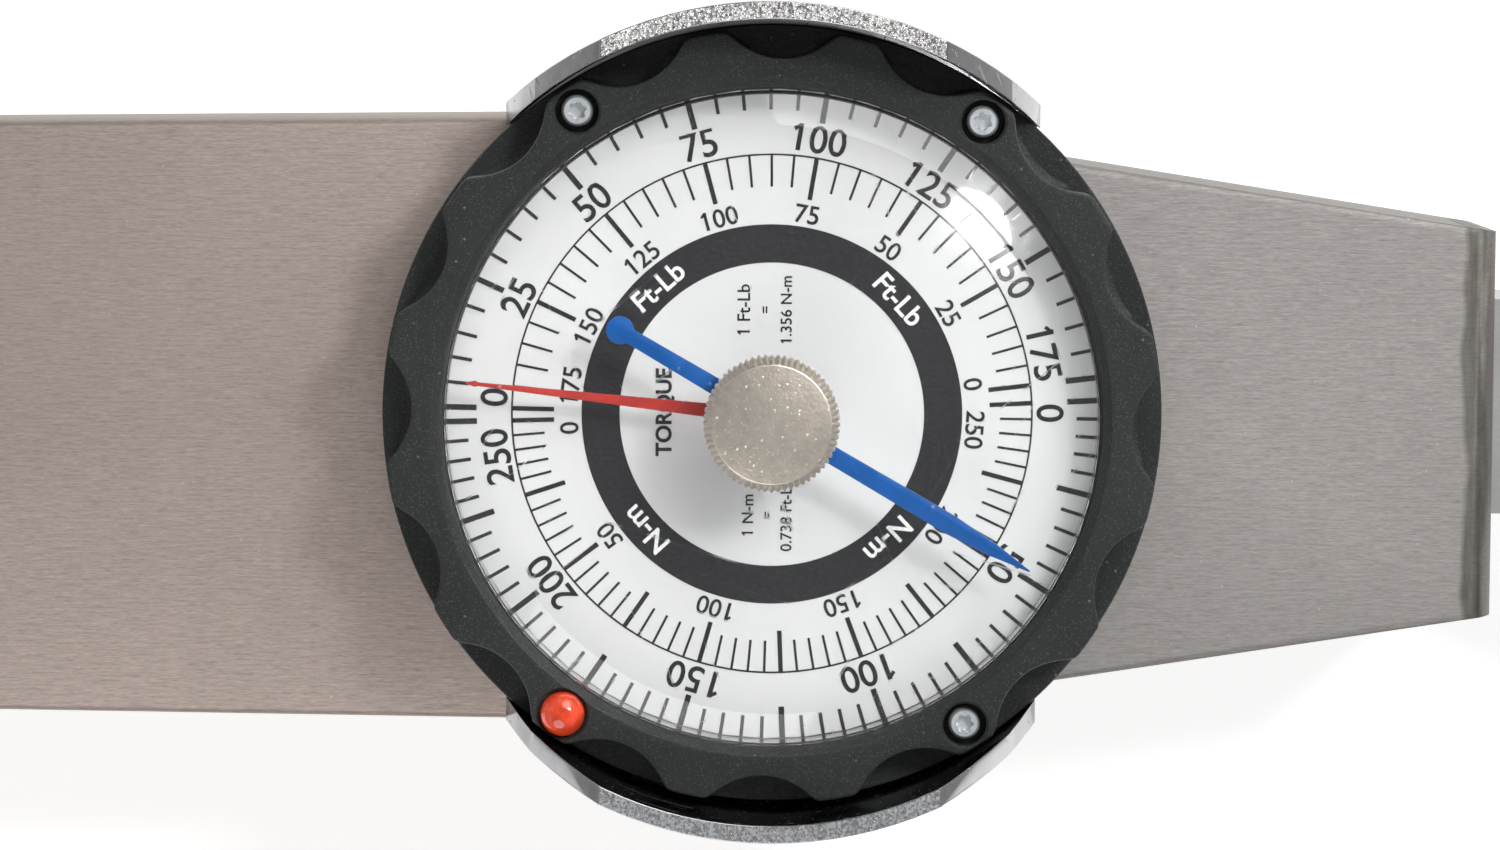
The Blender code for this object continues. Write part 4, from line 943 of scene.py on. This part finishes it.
def scallop_limit(degrees, settings):
    """Outer radius of the bezel at an angle: its own, or the wall of a finger grip."""
    pitch = 360 / settings.scallops
    off = (degrees + pitch / 2) % pitch - pitch / 2
    across = settings.body_r * math.radians(off)
    grip_r = settings.scallop_r
    if abs(across) >= grip_r * 0.999:
        return settings.body_r
    wall = settings.scallop_reach + grip_r - math.sqrt(grip_r ** 2 - across ** 2)
    soft = 0.9 * MM
    share = max(0.0, min(1.0, 0.5 + 0.5 * (settings.body_r - wall) / soft))
    return settings.body_r * (1 - share) + wall * share - soft * share * (1 - share)


def shape_scallops(bm, settings, flange_top):
    """Pulls the outer wall of the turned bezel in to the finger grips."""
    soften = 0.5 * MM
    still_r = settings.scallop_reach - 2.2 * MM
    for vert in bm.verts:
        if vert.co.z < flange_top - MERGE:
            continue
        flat = (vert.co - DIAL_AXIS).xy
        reach = flat.length
        if reach < still_r:
            continue
        degrees = math.degrees(math.atan2(flat.y, flat.x)) - settings.turn
        pull = settings.body_r - scallop_limit(degrees, settings)
        share = (reach - still_r) / (settings.body_r - still_r)
        lift = min(1.0, (vert.co.z - flange_top) / soften + 0.75)
        moved = flat.normalized() * (reach - pull * min(1.0, share) * lift)
        vert.co.x = DIAL_AXIS.x + moved.x
        vert.co.y = moved.y


def dial_place(node):
    """Plan position of something set in the bezel."""
    return middle(node).x, middle(node).y


class WRENCH_OT_bezel(bpy.types.Operator):
    """Scalloped bezel with its screw and lamp holes, and the ring under it"""

    bl_idname = "wrench.bezel"
    bl_label = "Bezel"

    def execute(self, context):
        settings = context.scene.wrench_bezel
        flange_top = BEZEL_LOW + settings.flange_h
        flange_r = radius_of("bezel")
        bore = FACE_R + 0.3 * MM
        opening, body = settings.opening_r, settings.body_r
        lip = 55.4 * MM
        soft, ease = 0.45 * MM, 0.3 * MM
        slope = 1.0 * MM
        profile = [(opening, lip), (opening, BEZEL_HIGH - slope),
                   (opening + 0.15 * MM, BEZEL_HIGH - 0.6 * MM)]
        profile += fillet(opening + slope, BEZEL_HIGH - 0.25 * MM, 0.25 * MM, 150, 90, 3)
        in_grips = (37.6 * MM, 38.4 * MM, 39.2 * MM, 40.0 * MM)
        profile += [(radius, BEZEL_HIGH) for radius in in_grips]
        profile += fillet(body - soft, BEZEL_HIGH - soft, soft, 90, 0, 6)
        profile += [(body, (BEZEL_HIGH + flange_top) / 2), (body, flange_top + ease)]
        profile += [(body, flange_top)]
        profile += fillet(flange_r - ease, flange_top - ease, ease, 90, 0, 3)
        profile += [(flange_r, BEZEL_LOW), (bore, BEZEL_LOW), (bore, lip)]
        bm = turned_bmesh(profile, settings.scallops * 32, DIAL_AXIS.xy, closed=True)
        shape_scallops(bm, settings, flange_top)
        bmesh.ops.recalc_face_normals(bm, faces=bm.faces)
        bezel = add_piece("bezel_moulding", bm, "black_plastic", "dial", ("bezel",))
        screw_hole = {"radius": 2.35 * MM, "floor": 53.2 * MM, "through": 1.2 * MM}
        lamp_hole = {"radius": 2.62 * MM, "floor": 55.65 * MM, "through": 1.5 * MM}
        holes = [(f"bezel_screw_{i}", screw_hole) for i in (1, 2, 3)] + [("signal_led", lamp_hole)]
        cut(bezel, [cutter_from(self.counterbore(dial_place(node), **hole)) for node, hole in holes])
        refine("retaining_ring", "dial", "black_plastic")
        refine("lens_gasket", "dial", "grip_rubber")
        return {"FINISHED"}

    def counterbore(self, centre, radius, floor, through):
        ease = 0.25 * MM
        profile = [(0.0, BEZEL_HIGH + MM), (radius + ease + MM, BEZEL_HIGH + MM),
                   (radius, BEZEL_HIGH - ease), (radius, floor), (through, floor),
                   (through, BEZEL_LOW - MM), (0.0, BEZEL_LOW - MM)]
        return turned_bmesh(profile, 48, centre)


def star_radius(degrees, outer, inner):
    """Radius of a six-lobed recess."""
    wave = 0.5 + 0.5 * math.cos(math.radians(6 * degrees))
    return inner + (outer - inner) * wave ** 0.8


class WRENCH_OT_screws(bpy.types.Operator):
    """Screws with six-lobed recesses, in the bezel, under the case and in the anchor block"""

    bl_idname = "wrench.screws"
    bl_label = "Screws"

    def execute(self, context):
        for kind, count, body, head_r, head_h, facing, twist in (
                ("bezel", 3, "dial", 1.75 * MM, 1.8 * MM, 1.0, 21.0),
                ("case", 4, "frame", 3.0 * MM, 1.6 * MM, -1.0, 33.0),
                ("anchor", 2, "frame", 3.0 * MM, 1.6 * MM, -1.0, 17.0)):
            for i in range(1, count + 1):
                node = f"{kind}_screw_{i}"
                bm = self.lobed_screw(node, head_r, head_h, facing, turn=i * twist)
                add_piece(node + "_star", bm, "zinc_plate", body, (node,))
        return {"FINISHED"}

    def lobed_screw(self, node, head_r, head_h, facing, turn):
        """Built head up at the origin, then turned over if it faces down, and moved to its place."""
        low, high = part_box(node)
        top = high.z if facing > 0 else -low.z
        length = high.z - low.z
        shank = head_r * 0.5
        count = 96
        bm = bmesh.new()
        loops = []
        for scale, depth, lobed in ((0.52, 0.55, True), (0.56, 0.03, True), (0.60, 0.0, True),
                                    (0.80, 0.0, False), (0.92, 0.10, False), (1.0, 0.38, False),
                                    (1.0, head_h / head_r, False),
                                    (shank / head_r, head_h / head_r, False),
                                    (shank / head_r, length / head_r, False)):
            ring = bmesh.ops.create_circle(bm, cap_ends=False, radius=head_r, segments=count)["verts"]
            for vert in ring:
                degrees = math.degrees(math.atan2(vert.co.y, vert.co.x))
                factor = scale * (star_radius(degrees + turn, 1.0, 0.76) if lobed else 1.0)
                vert.co = Vector((vert.co.x * factor, vert.co.y * factor, top - depth * head_r))
            loops.append(ring)
        for a, b in zip(loops, loops[1:]):
            edges = [e for ring in (a, b) for e in {e for v in ring for e in v.link_edges
                                                    if all(u in ring for u in e.verts)}]
            bmesh.ops.bridge_loops(bm, edges=edges)
        for ring in (loops[0], loops[-1]):
            bm.faces.new(ring)
        if facing < 0:
            bmesh.ops.scale(bm, verts=bm.verts, vec=(1, 1, -1))
        bmesh.ops.translate(bm, verts=bm.verts, vec=(*dial_place(node), 0.0))
        bmesh.ops.recalc_face_normals(bm, faces=bm.faces)
        return bm


class WRENCH_OT_lens(bpy.types.Operator):
    """Clear raised lens, with a sloped rim and a hole for the memory stem"""

    bl_idname = "wrench.lens"
    bl_label = "Lens"

    def execute(self, context):
        hole, rise, step, wall = 2.3 * MM, 31.5 * MM, 35.3 * MM, 0.35 * MM
        rim, flange_top = 57.6 * MM, 55.1 * MM
        outer = self.shell(0.0, hole, rise, step, rim)
        inner = self.shell(wall, hole, rise, step, rim)
        outer += [(step, flange_top), (FACE_R, flange_top), (FACE_R, LENS_LOW), (step - wall, LENS_LOW)]
        bm = turned_bmesh(outer + inner[::-1], 192, DIAL_AXIS.xy, closed=True)
        add_piece("lens_moulding", bm, "clear_lens", "dial", ("lens",), angle=40.0)
        return {"FINISHED"}

    def shell(self, inset, hole, rise, step, rim):
        """Flat top, sloped shoulder and upright wall, all set in by the same thickness."""
        slope = math.degrees(math.atan2(LENS_TOP - rim, step - rise))
        soft, corner = 1.2 * MM + inset, 0.6 * MM
        back = (soft - inset) * math.tan(math.radians(slope / 2))
        points = [(hole, LENS_TOP - inset)]
        points += fillet(rise - back, LENS_TOP - soft, soft - inset, 90, 90 - slope, 4)
        points += fillet(step - corner, rim - corner * 0.7, corner - inset, 90 - slope, 0, 8)
        return points


class WRENCH_OT_lamp(bpy.types.Operator):
    """Signal lamp with a round dome, and the board and cell that feed it"""

    bl_idname = "wrench.lamp"
    bl_label = "Signal Lamp"

    def execute(self, context):
        low, high = (corner.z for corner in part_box("signal_led"))
        radius, collar = radius_of("signal_led"), 55.95 * MM
        dome = [(radius * math.sin(math.radians(a)),
                 collar + 0.35 * MM + (high - collar - 0.35 * MM) * math.cos(math.radians(a)))
                for a in range(0, 91, 9)]
        stem = 1.4 * MM
        profile = dome + [(radius, collar), (stem, collar), (stem, low), (0.0, low)]
        bm = turned_bmesh(profile, 48, dial_place("signal_led"))
        add_piece("signal_led_dome", bm, "red_lens", "dial", ("signal_led",))
        refine("signal_board", "dial", "board", width=0.1 * MM)
        refine("coin_cell", "dial", "zinc_plate", width=0.2 * MM)
        return {"FINISHED"}


class WRENCH_OT_pointers(bpy.types.Operator):
    """Red torque pointer and blue memory pointer, stamped and enamelled"""

    bl_idname = "wrench.pointers"
    bl_label = "Pointers"

    def execute(self, context):
        self.red_pointer()
        self.blue_pointer()
        refine("pointer_spindle", "pointer", "zinc_plate")
        refine("memory_stem", "memory", "zinc_plate")
        return {"FINISHED"}

    def place(self, degrees):
        return Matrix.Translation(DIAL_AXIS) @ Matrix.Rotation(math.radians(degrees), 4, "Z")

    def half_outline(self, points):
        """Outline from its upper half, which runs from the tip to the tail."""
        return points + [(x, -y) for x, y in reversed(points) if abs(y) > MERGE]

    def red_pointer(self):
        low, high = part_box("torque_pointer")
        hub, length = 2.6 * MM, 33.3 * MM
        wide, narrow, barb = 0.85 * MM, 0.20 * MM, 0.34 * MM
        start = math.degrees(math.asin(wide / hub))
        points = [(length, 0.0), (length - 1.1 * MM, barb), (length - 1.5 * MM, narrow)]
        points += [(hub * math.cos(math.radians(a)), hub * math.sin(math.radians(a)))
                   for a in [start + (180 - start) * i / 16 for i in range(17)]]
        bm = flat_bmesh(self.half_outline(points), low.z, high.z, self.place(173.8))
        bevel_sharp(bm, 0.1 * MM, 2)
        add_piece("torque_pointer_arm", bm, "red_paint", "pointer", ("torque_pointer",))

    def blue_pointer(self):
        low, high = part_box("memory_pointer")
        hub, length, tail, tail_r = 4.0 * MM, 32.2 * MM, 18.9 * MM, 1.5 * MM
        wide, neck, front = 0.95 * MM, 0.82 * MM, 1.08 * MM
        start = math.degrees(math.asin(wide / hub))
        points = [(length, 0.08 * MM), (length - 4.5 * MM, 0.72 * MM), (length - 10 * MM, front)]
        points += [(hub * math.cos(math.radians(a)), hub * math.sin(math.radians(a)))
                   for a in [start + (180 - 2 * start) * i / 16 for i in range(17)]]
        join = math.degrees(math.asin(neck / tail_r))
        points += [(-tail + tail_r * math.cos(math.radians(a)), tail_r * math.sin(math.radians(a)))
                   for a in [join + (180 - join) * i / 14 for i in range(15)]]
        bm = flat_bmesh(self.half_outline(points), low.z, high.z, self.place(-30.3))
        bevel_sharp(bm, 0.1 * MM, 2)
        add_piece("memory_pointer_arm", bm, "blue_paint", "memory", ("memory_pointer",))


class WRENCH_OT_knob(bpy.types.Operator):
    """Knurled memory knob with a chamfered, blasted face"""

    bl_idname = "wrench.knob"
    bl_label = "Memory Knob"

    def execute(self, context):
        outer, face, bore, teeth = radius_of("memory_knob"), 6.5 * MM, 2.1 * MM, 64
        crown = 0.85 * MM
        profile = [(0.0, KNOB_TOP), (face - 0.25 * MM, KNOB_TOP)]
        profile += fillet(face - 0.25 * MM, KNOB_TOP - 0.25 * MM, 0.25 * MM, 60, 30, 2)
        profile += [(outer - 0.25 * MM, KNOB_TOP - crown), (outer, KNOB_TOP - crown - 0.25 * MM),
                    (outer, (KNOB_TOP + KNOB_LOW) / 2), (outer, KNOB_LOW + 0.3 * MM),
                    (outer - 0.35 * MM, KNOB_LOW), (bore, KNOB_LOW), (bore, KNOB_TOP - 0.9 * MM),
                    (0.0, KNOB_TOP - 0.9 * MM)]
        bm = turned_bmesh(profile, teeth * 8, DIAL_AXIS.xy)
        depth = 0.30 * MM
        for vert in bm.verts:
            flat = (vert.co - DIAL_AXIS).xy
            if flat.length > outer - 0.3 * MM:
                angle = math.atan2(flat.y, flat.x) * teeth
                notch = depth * (0.5 - 0.5 * math.cos(angle)) ** 1.6
                moved = flat.normalized() * (flat.length - notch)
                vert.co.x = DIAL_AXIS.x + moved.x
                vert.co.y = moved.y
        add_piece("memory_knob_knurled", bm, "nickel", "memory", ("memory_knob",), angle=28.0)
        return {"FINISHED"}


# ---------------------------------------------------------------- guard, case, handle, head


class WRENCH_OT_guard(bpy.types.Operator):
    """Chromed guard with rough sheared top edges"""

    bl_idname = "wrench.guard"
    bl_label = "Dial Guard"

    def execute(self, context):
        bm = merged_copy("dial_guard")
        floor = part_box("dial_guard")[0].z + 4 * MM
        for face in bm.faces:
            upward = face.normal.z > 0.9 and face.calc_center_median().z > floor
            face.material_index = 1 if upward else 0
        guard = add_piece("dial_guard_plated", bm, ["guard_chrome", "guard_edge"], "frame",
                          ("dial_guard",))
        ease = guard.modifiers.new("Ease", "BEVEL")
        ease.width = 0.28 * MM
        ease.segments = 3
        ease.limit_method = "ANGLE"
        ease.angle_limit = math.radians(35)
        ease.material = 0
        return {"FINISHED"}


class WRENCH_OT_case(bpy.types.Operator):
    """Both halves of the brushed steel case, and the pieces held between them"""

    bl_idname = "wrench.case"
    bl_label = "Case"

    def execute(self, context):
        refine("case_upper", "frame", "case_steel", angle=48.0)
        refine("case_lower", "frame", "case_steel", angle=48.0)
        for node in ("anchor_block", "head_pivot_pin", "handle_pin_1", "handle_pin_2"):
            material = "forged_steel" if node == "anchor_block" else "zinc_plate"
            refine(node, "frame", material, width=0.2 * MM)
        refine("dial_pan", "frame", "zinc_plate")
        return {"FINISHED"}


class WRENCH_OT_handle(bpy.types.Operator):
    """Plated tube, ribbed rubber grip, end cap and collar"""

    bl_idname = "wrench.handle"
    bl_label = "Handle"

    def execute(self, context):
        self.tube()
        self.grip()
        self.end_cap()
        refine("handle_collar", "frame", "black_plastic", width=0.35 * MM)
        return {"FINISHED"}

    def tube(self):
        low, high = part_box("handle_tube")
        outer = (high.z - low.z) / 2
        inner, edge = outer - 1.8 * MM, 0.4 * MM
        profile = [(inner, high.x), (outer - edge, high.x), (outer, high.x - edge),
                   (outer, low.x + edge), (outer - edge, low.x), (inner, low.x)]
        bm = turned_bmesh(profile, 96, closed=True)
        lay_along_x(bm, HANDLE_Z)
        add_piece("handle_tube_plated", bm, "guard_chrome", "frame", ("handle_tube",))

    def grip(self):
        low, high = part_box("handle_grip")
        outer, bore = (high.z - low.z) / 2, (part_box("handle_tube")[1].z - HANDLE_Z) + 0.2 * MM
        ribs, depth = 26, 0.9 * MM
        collar = 7 * MM
        pitch = (high.x - low.x - 2 * collar) / ribs
        profile = [(bore, high.x), (outer - 2.2 * MM, high.x)]
        profile += fillet(outer - 1.4 * MM, high.x - 1.4 * MM, 1.4 * MM, 90, 0, 6)[1:]
        steps = 10
        for i in range(ribs * steps + 1):
            along = high.x - collar - i * pitch / steps
            valley = (0.5 - 0.5 * math.cos(2 * math.pi * i / steps)) ** 3
            profile.append((outer - depth * valley, along))
        profile += fillet(outer - 1.4 * MM, low.x + 1.4 * MM, 1.4 * MM, 0, -90, 6)
        profile += [(bore, low.x)]
        bm = turned_bmesh(profile, 96, closed=True)
        lay_along_x(bm, HANDLE_Z)
        add_piece("handle_grip_ribbed", bm, "grip_rubber", "frame", ("handle_grip",))

    def end_cap(self):
        low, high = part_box("handle_end_cap")
        outer = (high.z - low.z) / 2
        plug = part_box("handle_tube")[1].z - HANDLE_Z - 2.1 * MM
        shoulder = low.x + 3.7 * MM
        soft = 1.2 * MM
        profile = [(0.0, high.x), (plug - 0.6 * MM, high.x), (plug, high.x - 0.6 * MM), (plug, shoulder),
                   (outer, shoulder)] + fillet(outer - soft, low.x + soft, soft, 0, -90, 6)
        profile += [(7.4 * MM, low.x), (6.8 * MM, low.x + 0.5 * MM), (0.0, low.x + 0.5 * MM)]
        bm = turned_bmesh(profile, 96)
        lay_along_x(bm, HANDLE_Z)
        add_piece("handle_end_cap_moulded", bm, "black_plastic", "frame",
                  ("handle_end_cap",))


class WRENCH_OT_head(bpy.types.Operator):
    """Forged head, drive square, ball, beam, fork and their pins"""

    bl_idname = "wrench.head"
    bl_label = "Head and Beam"

    def execute(self, context):
        refine("drive_head", "head", "forged_steel", width=0.9 * MM, segments=4)
        refine("drive_square", "head", "forged_steel", width=0.15 * MM)
        refine("measuring_beam", "head", "spring_steel", width=0.3 * MM)
        for node in ("drive_retaining_pin", "beam_pin_1", "beam_pin_2", "fork_screw"):
            refine(node, "head", "zinc_plate", width=0.15 * MM)
        refine("fork", "head", "brass", width=0.1 * MM)
        self.spring()
        self.ball()
        return {"FINISHED"}

    def spring(self):
        """Coil under the ball."""
        low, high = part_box("detent_spring")
        centre, radius, wire = middle("detent_spring"), (high.z - low.z) / 2, 0.2 * MM
        turns, per_turn = 3, 20
        steps, rise = turns * per_turn, high.x - low.x - 2 * wire
        start = Matrix.Translation((low.x + wire, centre.y + radius - wire, centre.z))
        bm = bmesh.new()
        first = bmesh.ops.create_circle(bm, cap_ends=False, radius=wire, segments=8, matrix=start)
        ring = first["verts"]
        spun = bmesh.ops.spin(bm, geom=ring + bm.edges[:], cent=centre, axis=(1, 0, 0),
                              dvec=(rise / steps, 0, 0), angle=2 * math.pi * turns, steps=steps,
                              use_merge=False, use_duplicate=False)
        last = [item for item in spun["geom_last"] if isinstance(item, bmesh.types.BMEdge)]
        bmesh.ops.contextual_create(bm, geom=last)
        bmesh.ops.contextual_create(bm, geom=[edge for edge in bm.edges if edge.is_boundary])
        bmesh.ops.recalc_face_normals(bm, faces=bm.faces)
        coil = add_piece("detent_spring_coil", bm, "spring_steel", "head",
                         ("detent_spring",))
        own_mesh(coil)

    def ball(self):
        bm = bmesh.new()
        size = radius_of("detent_ball")
        place = Matrix.Translation(middle("detent_ball"))
        bmesh.ops.create_uvsphere(bm, u_segments=48, v_segments=24, radius=size, matrix=place)
        add_piece("detent_ball_polished", bm, "zinc_plate", "ball", ("detent_ball",))


class WRENCH_OT_movement(bpy.types.Operator):
    """Gears, arbors, plates, pillars, bushes, hairspring and pan screws"""

    bl_idname = "wrench.movement"
    bl_label = "Movement"

    def execute(self, context):
        for node in ("movement_plate", "movement_bridge"):
            refine(node, "frame", "brass", width=0.12 * MM)
        for i in range(1, 5):
            refine(f"movement_pillar_{i}", "frame", "brass")
        for level in ("upper", "lower"):
            refine(f"spindle_bush_{level}", "frame", "brass")
        for i in range(1, 4):
            refine(f"pan_screw_{i}", "frame", "zinc_plate", width=0.15 * MM)
        refine("hairspring", "frame", "spring_steel", angle=80.0)
        refine("sector_gear", "sector", "brass")
        refine("sector_arbor", "sector", "zinc_plate")
        refine("lever_pin", "sector", "zinc_plate")
        refine("spindle_pinion", "pointer", "brass")
        return {"FINISHED"}


# ---------------------------------------------------------------- stage


class WRENCH_OT_stage(bpy.types.Operator):
    """Pale floor, soft lamps and the camera above the dial"""

    bl_idname = "wrench.stage"
    bl_label = "Stage"

    def execute(self, context):
        settings = context.scene.wrench_stage
        self.floor()
        self.world(context.scene)
        self.lamps()
        self.camera(context.scene, settings)
        context.scene.view_settings.view_transform = "Standard"
        return {"FINISHED"}

    def floor(self):
        bm = bmesh.new()
        bmesh.ops.create_grid(bm, x_segments=1, y_segments=1, size=3.0)
        mesh = bpy.data.meshes.new("floor")
        bm.to_mesh(mesh)
        bm.free()
        floor = bpy.data.objects.new("floor", mesh)
        floor.location.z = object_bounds()[0][2] - 0.2 * MM
        bpy.context.scene.collection.objects.link(floor)
        grey, paler = (0.93, 0.93, 0.93), (0.95, 0.95, 0.95)
        material, tree, shader, place = new_material("floor", grey, 0.8)
        tone = noise(tree, place, 4.0, 2.0, 0.5)
        tint(tree, shader, tone, grey, paler)
        shader.inputs["Emission Color"].default_value = (1.0, 1.0, 1.0, 1.0)
        shader.inputs["Emission Strength"].default_value = 0.50
        mesh.materials.append(material)
        floor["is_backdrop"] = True

    def world(self, scene):
        """A studio: brightest part of the way up, darker overhead and near the floor."""
        world = bpy.data.worlds.new("studio")
        world.use_nodes = True
        tree = world.node_tree
        place = tree.nodes.new("ShaderNodeTexCoord")
        apart = add_node(tree, "ShaderNodeSeparateXYZ", {"Vector": place.outputs["Generated"]})
        overhead = ramp(tree, apart.outputs["Z"], 0.40, 0.96, 1.0, 0.34)
        walls = ramp(tree, apart.outputs["Z"], 0.05, 0.40, 0.35, 1.0)
        shade = maths(tree, "MULTIPLY", overhead, walls)
        background = tree.nodes["Background"]
        grey = add_node(tree, "ShaderNodeCombineXYZ", {"X": shade, "Y": shade, "Z": shade})
        tree.links.new(grey.outputs[0], background.inputs["Color"])
        background.inputs["Strength"].default_value = 0.55
        scene.world = world

    def lamps(self):
        """Round lamps: two wide soft ones, and two small ones that show as highlights in the lens."""
        target = DIAL_AXIS + Vector((0, 0, FACE_Z))
        for name, offset, size, power in (
                ("key", (0.42, 0.92, 0.80), 0.95, 6.2),
                ("fill", (-0.30, -0.85, 0.80), 0.9, 3.6),
                ("spark", (0.52, 0.42, 0.80), 0.20, 3.4),
                ("glint", (0.0784, 0.0099, 0.80), 0.011, 0.08)):
            lamp = bpy.data.lights.new(name, "AREA")
            lamp.shape = "DISK"
            lamp.size = size
            lamp.energy = power
            obj = bpy.data.objects.new(name, lamp)
            obj.location = target + Vector(offset)
            obj.rotation_euler = (-Vector(offset)).to_track_quat("-Z", "Y").to_euler()
            bpy.context.scene.collection.objects.link(obj)

    def camera(self, scene, settings):
        """Nearly straight above the dial, leaning a little."""
        target = DIAL_AXIS + Vector((-2.37 * MM, -1.16 * MM, FACE_Z))
        spot = DIAL_AXIS + Vector((0.0, settings.lean, FACE_Z + settings.height))
        camera = bpy.data.cameras.new("camera")
        camera.lens = settings.lens_mm
        camera.sensor_width = 36.0
        camera.clip_start = 0.01
        obj = bpy.data.objects.new("camera", camera)
        back = (spot - target).normalized()
        side = Vector((0, 1, 0)).cross(back).normalized()
        turn = Matrix((side, back.cross(side), back)).transposed().to_4x4()
        roll = Matrix.Rotation(math.radians(settings.roll), 4, "Z")
        obj.matrix_world = Matrix.Translation(spot) @ turn @ roll
        scene.collection.objects.link(obj)
        scene.camera = obj


class WRENCH_PT_panel(bpy.types.Panel):
    """Lists the wrench's pieces in the 3D view's sidebar"""

    bl_idname = "WRENCH_PT_panel"
    bl_label = "Torque Wrench"
    bl_space_type = "VIEW_3D"
    bl_region_type = "UI"
    bl_category = "Torque Wrench"

    def draw(self, context):
        for operator in PIECES:
            self.layout.operator(operator.bl_idname)


PIECES = (WRENCH_OT_case, WRENCH_OT_guard, WRENCH_OT_movement, WRENCH_OT_head, WRENCH_OT_handle,
          WRENCH_OT_dial_face, WRENCH_OT_bezel, WRENCH_OT_screws, WRENCH_OT_lens, WRENCH_OT_lamp,
          WRENCH_OT_pointers, WRENCH_OT_knob, WRENCH_OT_stage)
SETTINGS = {"wrench_dial": DialSettings, "wrench_bezel": BezelSettings, "wrench_body": BodySettings,
            "wrench_stage": StageSettings}


def register():
    for cls in (*SETTINGS.values(), *PIECES, WRENCH_PT_panel):
        bpy.utils.register_class(cls)
    for name, cls in SETTINGS.items():
        setattr(bpy.types.Scene, name, PointerProperty(type=cls))


def unregister():
    for name in SETTINGS:
        delattr(bpy.types.Scene, name)
    for cls in reversed((*SETTINGS.values(), *PIECES, WRENCH_PT_panel)):
        bpy.utils.unregister_class(cls)


def main():
    register()
    build_materials(bpy.context.scene)
    for piece in PIECES:
        group, name = piece.bl_idname.split(".")
        getattr(getattr(bpy.ops, group), name)()


if __name__ == "__main__":
    main()
